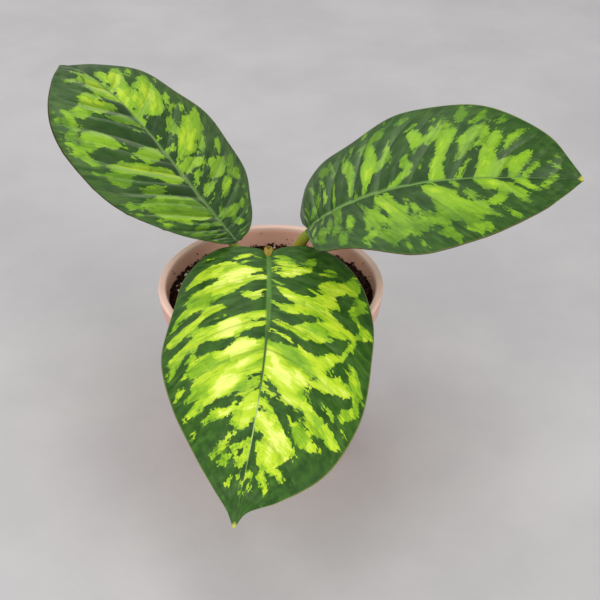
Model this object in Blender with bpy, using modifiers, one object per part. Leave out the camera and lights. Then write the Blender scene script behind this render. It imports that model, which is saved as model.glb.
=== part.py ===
"""Potted homalomena: three broad leaves on short stalks, from one stem crown in soil, in a round pot.

Metres, +Z up. The origin is the middle of the pot's flat underside, and the front leaf points to -Y.
"""

from math import cos, pi, radians, sin, tau

import bmesh
import bpy
import numpy as np
from mathutils import Matrix, Vector, noise

# Space between neighbouring solids
GAP = 0.0003

# Pot: a tapered body under a low collar, with a round rim
POT_HEIGHT = 0.106
RIM_RADIUS = 0.060
RIM_WALL = 0.0042
COLLAR_HEIGHT = 0.0118
COLLAR_WALL = 0.0060
COLLAR_FOOT_RADIUS = 0.0586
COLLAR_FOOT_ROUND = 0.0010
SHOULDER_DROP = 0.0035
SHOULDER_HEIGHT = 0.0030
BODY_TOP_RADIUS = 0.0555
BASE_RADIUS = 0.0425
BASE_ROUND = 0.0030
BODY_WALL = 0.0034
FLOOR_THICKNESS = 0.0045
POT_SIDES = 56
DRAIN_HOLES = 5
DRAIN_RADIUS = 0.0035
DRAIN_CIRCLE_RADIUS = 0.022

# Soil: fills the pot to a little under the rim, with a crumbly top
SOIL_DEPTH_BELOW_RIM = 0.0118
SOIL_LUMP_HEIGHT = 0.0024
SOIL_LUMP_SIZE = 0.009
SOIL_RINGS = 10

# Crown: the short stem that carries the stalks, and its stout roots
CROWN_CENTRE = (0.0005, 0.0065)
CROWN_ABOVE_SOIL = 0.0055
CROWN_RADIUS = 0.0098
STEM_BELOW_SOIL = 0.028
STEM_END_RADIUS = 0.0050
SOCKET_DEPTH = 0.009
ROOTS = 5
ROOT_DEPTH = 0.010
ROOT_DEPTH_STEP = 0.002
ROOT_RADIUS = 0.0016
ROOT_TIP_RADIUS = 0.0008
ROOT_LENGTH = 0.042
ROOT_SLANTS = (38.0, 26.0)

# Stalks: the sheathed foot of each petiole stands in a socket of the crown
FOOT_RADIUS = 0.0031
FOOT_CIRCLE_RADIUS = 0.0047
FOOT_LEAN = 14.0
PETIOLE_RADIUS = 0.0025
STRAIGHT_ABOVE_SOCKET = 0.004
BEND_PULLS = (0.45, 0.40)
BEND_POINTS = 9
RIB_START = 0.02
RIB_REACH = 0.86
RIB_POINTS = 13
RIB_END_RADIUS = 0.0006

# Blades: the same outline scheme for all three, with each leaf's own measures below
BLADE_THICKNESS = 0.0008
BLADE_ROWS = 33
BLADE_COLUMNS = 5
FIRST_ROW = 0.03
LAST_ROW = 0.992
LATERAL_VEINS = 11
EDGE_WAVES = 4.5
EDGE_WAVE_HEIGHT = 0.0007
VEIN_LEAN = 0.35
VEIN_SPREAD = 0.60
EDGE_STATIONS = (0.20, 0.40, 0.62, 0.80, 0.90, 0.955)
SINUS_WIDTH = 0.22
WIDTH_WEIGHT = 0.34
SPINE_STEPS = 121

# Sides of a blade, looking from its base to its tip
LEFT, RIGHT = 1, -1

# Each leaf's measures. Angles are in degrees: heading turns from +X towards +Y, pitch rises from level.
# "lobe" is how far along the blade the edge runs at three places of the rounded basal lobe, and "widths"
# are the half widths at the last two of these and at the edge stations, as shares of the widest.
LEAVES = {
    "leaf_front": {
        "base": (-0.0011, -0.0029, 0.1276),
        "length": 0.1585,
        "half_width": {LEFT: 0.0551, RIGHT: 0.0530},
        "heading": -86.7,
        "heading_change": -18.8,
        "pitch_at_base": -15.9,
        "pitch_at_tip": -42.3,
        "arch": 8.0,
        "roll": -2.0,
        "twist": -3.6,
        "fold": {LEFT: 1.9, RIGHT: 3.8},
        "curl": {LEFT: -25.1, RIGHT: -38.0},
        "lobe_drop": 0.15,
        "lobe": {LEFT: (-0.023, -0.026, 0.056), RIGHT: (-0.023, -0.026, 0.056)},
        "widths": {
            LEFT: (0.48, 0.81, 0.99, 0.99, 0.91, 0.66, 0.32, 0.06),
            RIGHT: (0.50, 0.83, 0.96, 1.05, 0.83, 0.48, 0.23, 0.08),
        },
        "quilt": 0.0006,
        "foot_turn": -90.0,
    },
    "leaf_left": {
        "base": (-0.0173, 0.0071, 0.1271),
        "length": 0.1598,
        "half_width": {LEFT: 0.0512, RIGHT: 0.0512},
        "heading": 144.2,
        "heading_change": -15.5,
        "pitch_at_base": 31.2,
        "pitch_at_tip": -22.1,
        "arch": 25.0,
        "roll": 10.1,
        "twist": -4.5,
        "fold": {LEFT: 12.5, RIGHT: 2.4},
        "curl": {LEFT: -29.2, RIGHT: -16.7},
        "lobe_drop": 0.30,
        "lobe": {LEFT: (0.009, 0.056, 0.131), RIGHT: (0.009, 0.056, 0.131)},
        "widths": {
            LEFT: (0.44, 0.71, 0.87, 1.09, 0.96, 0.51, 0.21, 0.09),
            RIGHT: (0.51, 0.77, 0.95, 1.06, 0.83, 0.56, 0.24, 0.01),
        },
        "quilt": 0.0011,
        "foot_turn": 150.0,
    },
    "leaf_right": {
        "base": (0.0190, 0.0098, 0.1332),
        "length": 0.1542,
        "half_width": {LEFT: 0.0526, RIGHT: 0.0507},
        "heading": -5.9,
        "heading_change": 17.1,
        "pitch_at_base": 46.4,
        "pitch_at_tip": -7.6,
        "arch": -13.9,
        "roll": 1.5,
        "twist": 31.7,
        "fold": {LEFT: 17.4, RIGHT: 16.0},
        "curl": {LEFT: -27.4, RIGHT: -18.0},
        "lobe_drop": 0.50,
        "lobe": {LEFT: (-0.029, -0.042, 0.048), RIGHT: (0.030, 0.066, 0.078)},
        "widths": {
            LEFT: (0.50, 0.82, 0.86, 0.98, 0.91, 0.66, 0.41, 0.18),
            RIGHT: (0.56, 0.72, 0.92, 1.09, 0.83, 0.50, 0.26, 0.12),
        },
        "quilt": 0.0009,
        "foot_turn": 30.0,
    },
}

SOIL_LEVEL = POT_HEIGHT - SOIL_DEPTH_BELOW_RIM
COLLAR_FOOT = POT_HEIGHT - COLLAR_HEIGHT
SHOULDER_BOTTOM = COLLAR_FOOT - SHOULDER_DROP
SHOULDER_TOP = SHOULDER_BOTTOM + SHOULDER_HEIGHT

# The pot's inner wall, as (radius, height): a straight taper, then a shoulder up to the collar's wall
POT_INSIDE = (
    (BASE_RADIUS - BODY_WALL, FLOOR_THICKNESS),
    (BODY_TOP_RADIUS - BODY_WALL, SHOULDER_BOTTOM),
    (RIM_RADIUS - COLLAR_WALL, SHOULDER_TOP),
    (RIM_RADIUS - RIM_WALL, POT_HEIGHT),
)


def clear_scene():
    for obj in list(bpy.data.objects):
        bpy.data.objects.remove(obj)


def new_collection(name, hidden=False):
    collection = bpy.data.collections.new(name)
    bpy.context.scene.collection.children.link(collection)
    collection.hide_render = hidden
    return collection


def new_material(name, color, roughness):
    material = bpy.data.materials.new(name)
    material.use_nodes = True
    shader = material.node_tree.nodes["Principled BSDF"]
    shader.inputs["Base Color"].default_value = (*color, 1.0)
    shader.inputs["Roughness"].default_value = roughness
    shader.inputs["Metallic"].default_value = 0.0
    return material


def new_object(name, data, collection, material=None):
    obj = bpy.data.objects.new(name, data)
    collection.objects.link(obj)
    if material:
        data.materials.append(material)
    return obj


def mesh_from(bm, name):
    mesh = bpy.data.meshes.new(name)
    bm.to_mesh(mesh)
    bm.free()
    return mesh


def as_cutter(obj):
    obj.hide_render = True
    obj.display_type = "WIRE"
    return obj


def evaluated_mesh(obj):
    """A plain mesh of the object with its modifiers applied."""
    graph = bpy.context.evaluated_depsgraph_get()
    graph.update()
    return bpy.data.meshes.new_from_object(obj.evaluated_get(graph))


def apply_modifiers(obj):
    mesh = evaluated_mesh(obj)
    obj.modifiers.clear()
    obj.data = mesh


def boolean(obj, other, operation):
    modifier = obj.modifiers.new(operation.title(), "BOOLEAN")
    modifier.operation = operation
    modifier.solver = "EXACT"
    modifier.object = other


def fuse(obj, other):
    """Joins the other object's solid to this one, then removes the other object."""
    boolean(obj, other, "UNION")
    apply_modifiers(obj)
    bpy.data.objects.remove(other)


def shade_round(obj, sharp_degrees=40.0):
    obj.data.shade_smooth()
    obj.data.set_sharp_from_angle(angle=radians(sharp_degrees))


def turned(name, profile, collection, material=None, sides=POT_SIDES):
    """A solid turned about Z from (radius, height) points that run down its outer side."""
    bm = bmesh.new()
    verts = [bm.verts.new((radius, 0, height)) for radius, height in profile]
    for start, end in zip(verts, verts[1:]):
        bm.edges.new((start, end))
    obj = new_object(name, mesh_from(bm, name), collection, material)
    screw = obj.modifiers.new("Turn", "SCREW")
    screw.steps = sides
    screw.render_steps = sides
    screw.use_merge_vertices = True
    screw.merge_threshold = 0.00001
    return obj


def arc(centre, radius, start, end, steps):
    """(radius, height) points along a round corner, between two angles in degrees."""
    turns = np.radians(np.linspace(start, end, steps + 1))
    return [(centre[0] + radius * cos(turn), centre[1] + radius * sin(turn)) for turn in turns]


def pot_inside_radius(height):
    radii, heights = zip(*POT_INSIDE)
    return float(np.interp(height, heights, radii))


def make_pot(collection, cutters):
    lip = RIM_WALL / 2
    lip_centre = (RIM_RADIUS - lip, POT_HEIGHT - lip)
    collar_corner = (COLLAR_FOOT_RADIUS - COLLAR_FOOT_ROUND, COLLAR_FOOT + COLLAR_FOOT_ROUND)
    base_corner = (BASE_RADIUS - BASE_ROUND, BASE_ROUND)
    profile = [(0, FLOOR_THICKNESS), *POT_INSIDE[:3]]
    profile += arc(lip_centre, lip, 180, 0, 6)
    profile += arc(collar_corner, COLLAR_FOOT_ROUND, 0, -90, 2)
    profile.append((BODY_TOP_RADIUS, COLLAR_FOOT - COLLAR_FOOT_ROUND))
    profile += arc(base_corner, BASE_ROUND, 0, -90, 3)
    profile.append((0, 0))
    glaze = new_material("matte_pink_glaze", (0.60, 0.36, 0.31), 0.6)
    pot = turned("pot", profile, collection, glaze)
    for number in range(DRAIN_HOLES):
        turn = tau * (number + 0.5) / DRAIN_HOLES
        place = (DRAIN_CIRCLE_RADIUS * cos(turn), DRAIN_CIRCLE_RADIUS * sin(turn), FLOOR_THICKNESS / 2)
        bm = bmesh.new()
        bmesh.ops.create_cone(
            bm,
            cap_ends=True,
            segments=12,
            radius1=DRAIN_RADIUS,
            radius2=DRAIN_RADIUS,
            depth=4 * FLOOR_THICKNESS,
            matrix=Matrix.Translation(place),
        )
        drill = as_cutter(new_object(f"drain_drill_{number}", mesh_from(bm, "drain_drill"), cutters))
        boolean(pot, drill, "DIFFERENCE")
    shade_round(pot)


def soil_lump(x, y):
    """Height of the crumbs above the mean soil level."""
    coarse = noise.noise(Vector((x, y, 0)) / SOIL_LUMP_SIZE)
    fine = noise.noise(Vector((x, y, 0.1)) / (0.4 * SOIL_LUMP_SIZE))
    return SOIL_LUMP_HEIGHT * (coarse + 0.6 * fine)


def make_soil(collection, crown_space):
    """The filling of the pot, with the plain holes that the stem and the roots stand in."""
    outside = pot_inside_radius(SOIL_LEVEL) - GAP
    bottom = FLOOR_THICKNESS + GAP
    top = [(outside * ring / SOIL_RINGS, SOIL_LEVEL) for ring in range(SOIL_RINGS + 1)]
    side = [(pot_inside_radius(height) - GAP, height) for height in (SHOULDER_TOP, SHOULDER_BOTTOM, bottom)]
    dirt = new_material("potting_soil", (0.035, 0.022, 0.015), 0.95)
    soil = turned("soil", top + side + [(0, bottom)], collection, dirt)
    apply_modifiers(soil)
    for vert in soil.data.vertices:
        if vert.co.z > SOIL_LEVEL - 0.0001:
            to_wall = outside - vert.co.xy.length
            vert.co.z += max(soil_lump(vert.co.x, vert.co.y), -to_wall / 2)
    boolean(soil, crown_space, "DIFFERENCE")
    shade_round(soil, 60.0)


def crown_profile(grow):
    """The crown and its stem from the top down, with its surface moved out by grow."""
    top = SOIL_LEVEL + CROWN_ABOVE_SOIL
    return [
        (0, top + grow),
        (0.70 * CROWN_RADIUS, top + grow),
        (0.93 * CROWN_RADIUS + grow, top - 0.0015),
        (CROWN_RADIUS + grow, top - 0.004),
        (0.94 * CROWN_RADIUS + grow, SOIL_LEVEL + 0.001),
        (0.80 * CROWN_RADIUS + grow, SOIL_LEVEL - 0.006),
        (STEM_END_RADIUS + grow, SOIL_LEVEL - STEM_BELOW_SOIL + 0.002),
        (0.6 * STEM_END_RADIUS + grow, SOIL_LEVEL - STEM_BELOW_SOIL - grow),
        (0, SOIL_LEVEL - STEM_BELOW_SOIL - grow),
    ]


def rod(name, start, direction, length, radius, end_radius, collection, sides):
    """A round or tapered rod from a start point along a direction."""
    turn = Vector(direction).to_track_quat("Z", "Y").to_matrix().to_4x4()
    middle = Vector(start) + Vector(direction).normalized() * length / 2
    bm = bmesh.new()
    bmesh.ops.create_cone(
        bm,
        cap_ends=True,
        segments=sides,
        radius1=radius,
        radius2=end_radius,
        depth=length,
        matrix=Matrix.Translation(middle) @ turn,
    )
    return new_object(name, mesh_from(bm, name), collection)


def rooted_stem(name, grow, collection, material=None):
    """The crown, its stem and its roots as one solid, with its surface moved out by grow."""
    stem = turned(name, crown_profile(grow), collection, material, sides=24)
    apply_modifiers(stem)
    for vert in stem.data.vertices:
        vert.co.xy += Vector(CROWN_CENTRE)
    for number in range(ROOTS):
        turn = tau * (number + 0.3) / ROOTS
        slant = radians(ROOT_SLANTS[number % 2])
        direction = Vector((cos(turn) * sin(slant), sin(turn) * sin(slant), -cos(slant)))
        start = Vector((*CROWN_CENTRE, SOIL_LEVEL - ROOT_DEPTH - number * ROOT_DEPTH_STEP))
        length = ROOT_LENGTH + grow
        root = rod(
            "root", start, direction, length, ROOT_RADIUS + grow, ROOT_TIP_RADIUS + grow, collection, 8
        )
        fuse(stem, root)
    return stem


def foot_of(leaf):
    """Where the stalk's foot stands in the crown, and the direction it leans in."""
    turn = radians(leaf["foot_turn"])
    lean = radians(FOOT_LEAN)
    foot = Vector(
        (
            CROWN_CENTRE[0] + FOOT_CIRCLE_RADIUS * cos(turn),
            CROWN_CENTRE[1] + FOOT_CIRCLE_RADIUS * sin(turn),
            SOIL_LEVEL + CROWN_ABOVE_SOIL - SOCKET_DEPTH,
        )
    )
    direction = Vector((sin(lean) * cos(turn), sin(lean) * sin(turn), cos(lean)))
    return foot, direction


def make_crown(collection, cutters):
    """The crown with a socket for each stalk. Returns the space that it takes up in the soil."""
    bark = new_material("stem_crown", (0.24, 0.22, 0.07), 0.6)
    crown = rooted_stem("crown", 0, collection, bark)
    for name, leaf in LEAVES.items():
        foot, direction = foot_of(leaf)
        start = foot - GAP * direction
        radius = FOOT_RADIUS + GAP
        drill = rod(f"{name}_socket_drill", start, direction, 3 * SOCKET_DEPTH, radius, radius, cutters, 24)
        boolean(crown, as_cutter(drill), "DIFFERENCE")
    shade_round(crown)
    return as_cutter(rooted_stem("crown_space", GAP, cutters))


def through(points, shares):
    """Smooth curve through (along, across) points, read at shares 0 to 1 of its length."""
    points = np.array(points)
    steps = np.diff(points, axis=0) * (1.0, WIDTH_WEIGHT)
    knots = np.concatenate([[0.0], np.cumsum(np.hypot(*steps.T))])
    knots /= knots[-1]
    slopes = np.gradient(points, knots, axis=0)
    first = np.clip(np.searchsorted(knots, shares, side="right") - 1, 0, len(knots) - 2)
    span = (knots[first + 1] - knots[first])[:, None]
    u = (shares - knots[first])[:, None] / span
    return (
        (2 * u**3 - 3 * u**2 + 1) * points[first]
        + (u**3 - 2 * u**2 + u) * span * slopes[first]
        + (3 * u**2 - 2 * u**3) * points[first + 1]
        + (u**3 - u**2) * span * slopes[first + 1]
    )


def edge_of(leaf, side, shares):
    """The blade's flat outline on one side, from base to tip: (share of the length, distance out)."""
    along = (0.0, *leaf["lobe"][side], *EDGE_STATIONS, 1.0)
    across = (0.0, SINUS_WIDTH, *leaf["widths"][side], 0.0)
    outline = through(list(zip(along, across)), shares)
    return outline[:, 0], np.maximum(outline[:, 1], 0) * leaf["half_width"][side]


def spine_of(leaf, along):
    """Points of the midrib at shares of the blade's length, with its forward, left and up directions."""
    steps = np.linspace(0, 1, SPINE_STEPS)
    pitch = np.radians(
        leaf["pitch_at_base"] * (1 - steps)
        + leaf["pitch_at_tip"] * steps
        + 4 * leaf["arch"] * steps * (1 - steps)
    )
    heading = np.radians(leaf["heading"] + leaf["heading_change"] * steps)
    roll = np.radians(leaf["roll"] + leaf["twist"] * steps)[:, None]
    forward = np.stack([np.cos(pitch) * np.cos(heading), np.cos(pitch) * np.sin(heading), np.sin(pitch)], -1)
    stride = leaf["length"] / (SPINE_STEPS - 1)
    walked = np.cumsum(stride * (forward[1:] + forward[:-1]) / 2, axis=0)
    points = np.array(leaf["base"]) + np.concatenate([[(0, 0, 0)], walked])
    level = np.stack([-np.sin(heading), np.cos(heading), 0 * heading], -1)
    left = level * np.cos(roll) + np.cross(forward, level) * np.sin(roll)
    up = np.cross(forward, left)
    inside = np.clip(along, 0, 1)

    def at(values):
        return np.stack([np.interp(inside, steps, values[:, axis]) for axis in range(3)], -1)

    behind = np.minimum(along, 0)[:, None] * leaf["length"]
    return at(points) + behind * at(forward), at(forward), at(left), at(up)


def on_blade(leaf, side, along, across):
    """The blade's upper surface, at shares of its length and distances from the midrib on one side."""
    fold = radians(leaf["fold"][side])
    curl = radians(leaf["curl"][side])
    width = leaf["half_width"][side]
    turn = fold + curl * across / width
    out = width / curl * (np.sin(turn) - sin(fold))
    rise = width / curl * (cos(fold) - np.cos(turn))
    rise -= leaf["lobe_drop"] * leaf["length"] * np.maximum(-along, 0)
    points, _, left, up = spine_of(leaf, along)
    return points + left * (side * out)[:, None] + up * rise[:, None]


def along_veins(leaf, side, rows, outward):
    """Places on the blade along its lateral veins, each running from the midrib to a share of the edge."""
    edge_along, edge_out = edge_of(leaf, side, rows)
    start = rows**2
    bend_along = start + VEIN_LEAN * (edge_along - start)
    bend_out = VEIN_SPREAD * edge_out
    along = (1 - outward) ** 2 * start + 2 * outward * (1 - outward) * bend_along + outward**2 * edge_along
    across = 2 * outward * (1 - outward) * bend_out + outward**2 * edge_out
    surface = on_blade(leaf, side, along, across)
    vein_turns = pi * LATERAL_VEINS * (rows - FIRST_ROW) / (LAST_ROW - FIRST_ROW)
    puff = np.abs(np.sin(vein_turns)) * np.sin(pi * outward) ** 0.7
    fade = np.clip(4 * rows * (1 - rows), 0, 1)
    wave = np.sin(tau * EDGE_WAVES * rows + side) * outward**3
    _, _, _, up = spine_of(leaf, along)
    return surface + up * (fade * (leaf["quilt"] * puff + EDGE_WAVE_HEIGHT * wave))[:, None]


def make_blade(name, leaf, collection, material):
    """A thin blade whose rows follow its veins, moved from a flat grid to the leaf's own surface."""
    bm = bmesh.new()
    bmesh.ops.create_grid(bm, x_segments=BLADE_ROWS, y_segments=2 * BLADE_COLUMNS, size=1.0)
    grid = np.array([vert.co for vert in bm.verts])
    rows = FIRST_ROW + (LAST_ROW - FIRST_ROW) * (grid[:, 0] + 1) / 2
    outward = np.clip(np.abs(grid[:, 1]), 0, 1)
    left_places = along_veins(leaf, LEFT, rows, outward)
    right_places = along_veins(leaf, RIGHT, rows, outward)
    places = np.where((grid[:, 1] > 0)[:, None], left_places, right_places)
    for vert, place in zip(bm.verts, places):
        vert.co = place
    bmesh.ops.triangulate(bm, faces=bm.faces)
    blade = new_object(name, mesh_from(bm, name), collection, material)
    thickness = blade.modifiers.new("Thickness", "SOLIDIFY")
    thickness.thickness = BLADE_THICKNESS
    thickness.offset = -1
    return blade


def petiole_route(leaf):
    """Centre points and radii from the stalk's foot, up to the blade and on along the rib under it."""
    foot, direction = foot_of(leaf)
    shares = np.linspace(RIB_START, RIB_REACH, RIB_POINTS)
    rib, forward, _, up = spine_of(leaf, shares)
    rib_radii = PETIOLE_RADIUS + (RIB_END_RADIUS - PETIOLE_RADIUS) * shares**0.6
    rib = rib - up * (rib_radii + 0.4 * BLADE_THICKNESS)[:, None]
    bend_start = foot + direction * (SOCKET_DEPTH + STRAIGHT_ABOVE_SOCKET)
    bend_end = Vector(rib[0])
    reach = (bend_end - bend_start).length
    first_pull = bend_start + direction * BEND_PULLS[0] * reach
    last_pull = bend_end - Vector(forward[0]) * BEND_PULLS[1] * reach
    points = [foot]
    radii = [FOOT_RADIUS]
    for share in np.linspace(0, 1, BEND_POINTS, endpoint=False):
        rest = 1 - share
        point = rest**3 * bend_start + 3 * rest**2 * share * first_pull
        point += 3 * rest * share**2 * last_pull + share**3 * bend_end
        points.append(point)
        radii.append(FOOT_RADIUS + (PETIOLE_RADIUS - FOOT_RADIUS) * min(1.0, 2 * share))
    points += [Vector(point) for point in rib]
    radii += list(rib_radii)
    return points, radii


def make_petiole(name, leaf, collection):
    points, radii = petiole_route(leaf)
    curve = bpy.data.curves.new(name, "CURVE")
    curve.dimensions = "3D"
    curve.bevel_depth = PETIOLE_RADIUS
    curve.bevel_resolution = 2
    curve.use_fill_caps = True
    spline = curve.splines.new("POLY")
    spline.points.add(len(points) - 1)
    for spot, point, radius in zip(spline.points, points, radii):
        spot.co = (*point, 1)
        spot.radius = radius / PETIOLE_RADIUS
    guide = new_object(f"{name}_guide", curve, collection)
    bm = bmesh.new()
    bm.from_mesh(evaluated_mesh(guide))
    bmesh.ops.remove_doubles(bm, verts=bm.verts, dist=0.00001)
    bpy.data.objects.remove(guide)
    return new_object(name, mesh_from(bm, name), collection)


def make_leaf(name, leaf, collection, material):
    """One leaf: its blade, the rib under it and its stalk, as one solid."""
    blade = make_blade(name, leaf, collection, material)
    apply_modifiers(blade)
    petiole = make_petiole(f"{name}_petiole", leaf, collection)
    fuse(blade, petiole)
    shade_round(blade, 50.0)


def main():
    clear_scene()
    parts = new_collection("potted_homalomena")
    cutters = new_collection("cutters", hidden=True)
    make_pot(parts, cutters)
    crown_space = make_crown(parts, cutters)
    make_soil(parts, crown_space)
    for name, leaf in LEAVES.items():
        green = new_material(f"{name}_blade", (0.10, 0.26, 0.04), 0.42)
        make_leaf(name, leaf, parts, green)


main()
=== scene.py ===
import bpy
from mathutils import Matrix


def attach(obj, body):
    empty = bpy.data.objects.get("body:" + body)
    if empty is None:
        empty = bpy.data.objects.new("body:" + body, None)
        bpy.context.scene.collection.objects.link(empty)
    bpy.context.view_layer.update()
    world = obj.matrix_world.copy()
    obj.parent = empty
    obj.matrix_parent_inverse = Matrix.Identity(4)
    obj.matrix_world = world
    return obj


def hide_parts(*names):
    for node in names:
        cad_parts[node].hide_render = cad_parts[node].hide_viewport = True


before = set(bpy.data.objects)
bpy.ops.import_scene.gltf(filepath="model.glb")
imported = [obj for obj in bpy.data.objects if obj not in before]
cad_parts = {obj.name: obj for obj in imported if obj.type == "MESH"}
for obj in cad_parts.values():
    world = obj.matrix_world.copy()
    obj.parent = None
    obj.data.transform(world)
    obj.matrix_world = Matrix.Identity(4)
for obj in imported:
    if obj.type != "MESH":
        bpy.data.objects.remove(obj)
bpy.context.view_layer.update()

import math
import random

import bmesh
import bpy
import numpy as np
from mathutils import Matrix, Vector, noise

tau = 2 * math.pi


# Shared helpers: colours, shader nodes and meshes

def colour(red, green, blue):  # 0 to 255 as seen on a screen, to the shader's linear values
    shares = [value / 255 for value in (red, green, blue)]
    linear = [share / 12.92 if share < 0.04045 else ((share + 0.055) / 1.055) ** 2.4 for share in shares]
    return (*linear, 1.0)


def newMaterial(name, **sockets):
    material = bpy.data.materials.new(name)
    material.use_nodes = True
    shader = material.node_tree.nodes["Principled BSDF"]
    for socket, value in sockets.items():
        shader.inputs[socket.replace("_", " ")].default_value = value
    return material


def addNode(material, kind, inputs, output=0, **settings):
    tree = material.node_tree
    node = tree.nodes.new("ShaderNode" + kind)
    for name, value in settings.items():
        setattr(node, name, value)
    for socket, value in inputs.items():
        if isinstance(value, bpy.types.NodeSocket):
            tree.links.new(value, node.inputs[socket])
        else:
            node.inputs[socket].default_value = value
    return node.outputs[output]


def maths(material, operation, first, second=0.0):
    return addNode(material, "Math", {0: first, 1: second}, operation=operation)


def times(material, first, second):
    return maths(material, "MULTIPLY", first, second)


def shifted(material, value, *moves):  # value moved by noises that run from 0 to 1, each by its amount
    for noiseValue, amount in moves:
        swing = times(material, maths(material, "SUBTRACT", noiseValue, 0.5), amount)
        value = maths(material, "ADD", value, swing)
    return value


def scaled(material, place, amounts):
    return addNode(material, "VectorMath", {0: place, 1: amounts}, operation="MULTIPLY")


def grain(material, place, scale, detail=3.0, roughness=0.5):
    inputs = {"Vector": place, "Scale": scale, "Detail": detail, "Roughness": roughness}
    return addNode(material, "TexNoise", inputs)


def stretched(material, place, amounts, detail=2.0, roughness=0.5):  # grain with its own scale each way
    return grain(material, scaled(material, place, amounts), 1.0, detail, roughness)


def cells(material, place, amounts):  # one random value for each cell
    inputs = {"Vector": scaled(material, place, amounts), "Scale": 1.0}
    value = addNode(material, "TexVoronoi", inputs, output=1, distance="CHEBYCHEV")
    return addNode(material, "SeparateColor", {0: value})


def ranged(material, value, low, high, start=0.0, end=1.0):
    inputs = {0: value, 1: low, 2: high, 3: start, 4: end}
    return addNode(material, "MapRange", inputs, interpolation_type="SMOOTHSTEP")


def mixed(material, share, first, second):
    return addNode(material, "Mix", {0: share, 6: first, 7: second}, output=2, data_type="RGBA")


def over(material, tint, share, tone):  # a colour laid over a tint
    return mixed(material, share, tint, colour(*tone))


def toned(material, value, steps, tones):  # one colour after another, as the value passes the steps
    tint = colour(*tones[0])
    for low, high, tone in zip(steps, steps[1:], tones[1:]):
        tint = over(material, tint, ranged(material, value, low, high), tone)
    return tint


def bump(material, height, distance, strength):
    inputs = {"Height": height, "Distance": distance, "Strength": strength}
    return addNode(material, "Bump", inputs)


def finish(material, **links):  # links into the Principled shader
    shader = material.node_tree.nodes["Principled BSDF"]
    for socket, source in links.items():
        material.node_tree.links.new(source, shader.inputs[socket.replace("_", " ")])
    return material


def objectPlace(material):
    return addNode(material, "TexCoord", {}, output=3)


def surfacePlace(material):  # the leaves' own UV map, along and across
    return addNode(material, "UVMap", {}, uv_map="veins")


def reading(material, name):  # one of the leaves' own values
    return addNode(material, "Attribute", {}, output=2, attribute_name=name)


def axisOf(material, place, axis):
    return addNode(material, "SeparateXYZ", {0: place}, output=axis)


def newPiece(name, bm, materials):
    mesh = bpy.data.meshes.new(name)
    bm.to_mesh(mesh)
    bm.free()
    for material in materials:
        mesh.materials.append(material)
    mesh.shade_smooth()
    piece = bpy.data.objects.new(name, mesh)
    bpy.context.scene.collection.objects.link(piece)
    return piece


def arc(centre, radius, start, end, steps):  # round corner of a profile, angles in degrees
    turns = np.radians(np.linspace(start, end, steps + 1))
    return [(centre[0] + radius * math.cos(t), centre[1] + radius * math.sin(t)) for t in turns]


def straight(first, last, steps):  # points from the first corner up to the last, without the last
    return [tuple(np.array(first) + (np.array(last) - first) * step / steps) for step in range(steps)]


def onCircle(radius, turn):
    return radius * math.cos(turn), radius * math.sin(turn)


def spun(profile, steps):  # (radius, height) points turned about Z, as a closed skin
    bm = bmesh.new()
    verts = [bm.verts.new((radius, 0, height)) for radius, height in profile]
    edges = [bm.edges.new(pair) for pair in zip(verts, verts[1:])]
    axis = {"cent": (0, 0, 0), "axis": (0, 0, 1)}
    bmesh.ops.spin(bm, geom=verts + edges, angle=tau, steps=steps, use_merge=True, **axis)
    bmesh.ops.remove_doubles(bm, verts=bm.verts, dist=0.000001)
    bmesh.ops.recalc_face_normals(bm, faces=bm.faces)
    return bm


# Camera, light and floor

camera = {
    "aim": (0.0155, 0.0, 0.0945),
    "distance": 0.75,
    "lookDown": 34.3,  # degrees
    "lens": 83.64,
    "sensor": 36.0,
}

lamps = {
    "top": {"size": 0.9, "place": (-0.08, 0.08, 1.70), "power": 3.6},
    "frontLeft": {"size": 1.1, "place": (-0.75, -1.05, 1.05), "power": 8.7},
    "frontRight": {"size": 1.1, "place": (0.75, -1.05, 1.05), "power": 9.0},
    "back": {"size": 0.4, "place": (-0.20, 0.85, 1.40), "power": 2.4},
    "low": {"size": 0.6, "place": (-0.95, 0.90, 1.00), "power": 2.6},
}

sky = {"colour": (1, 1, 1, 1), "strength": 0.49}

floor = {"size": 6.0, "tones": ((187, 185, 186), (197, 195, 195)), "clouds": 9.0, "fibres": 300.0}


def makeCamera():
    down = math.radians(camera["lookDown"])
    aim = Vector(camera["aim"])
    data = bpy.data.cameras.new("camera")
    data.lens = camera["lens"]
    data.sensor_width = camera["sensor"]
    eye = bpy.data.objects.new("camera", data)
    eye.location = aim + camera["distance"] * Vector((0, -math.cos(down), math.sin(down)))
    eye.rotation_euler = (math.pi / 2 - down, 0, 0)
    bpy.context.scene.collection.objects.link(eye)
    bpy.context.scene.camera = eye


def makeLights():
    aim = Vector(camera["aim"])
    for name, look in lamps.items():
        lamp = bpy.data.lights.new(name, "AREA")
        lamp.shape = "DISK"
        lamp.size = look["size"]
        lamp.energy = look["power"]
        obj = bpy.data.objects.new(name, lamp)
        obj.location = look["place"]
        obj.rotation_euler = (aim - Vector(look["place"])).to_track_quat("-Z", "Y").to_euler()
        bpy.context.scene.collection.objects.link(obj)
    world = bpy.data.worlds.new("studio")
    world.use_nodes = True
    glow = world.node_tree.nodes["Background"]
    glow.inputs["Color"].default_value = sky["colour"]
    glow.inputs["Strength"].default_value = sky["strength"]
    bpy.context.scene.world = world
    bpy.context.scene.view_settings.view_transform = "Standard"


def makeFloor():
    bm = bmesh.new()
    bmesh.ops.create_grid(bm, x_segments=1, y_segments=1, size=floor["size"] / 2)
    paper = newMaterial("floorPaper", Roughness=0.9)
    place = objectPlace(paper)
    tint = toned(paper, grain(paper, place, floor["clouds"], 5.0, 0.6), (0.3, 0.7), floor["tones"])
    relief = bump(paper, grain(paper, place, floor["fibres"]), 0.0002, 0.3)
    finish(paper, Base_Color=tint, Normal=relief)
    newPiece("floor", bm, [paper])


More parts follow.
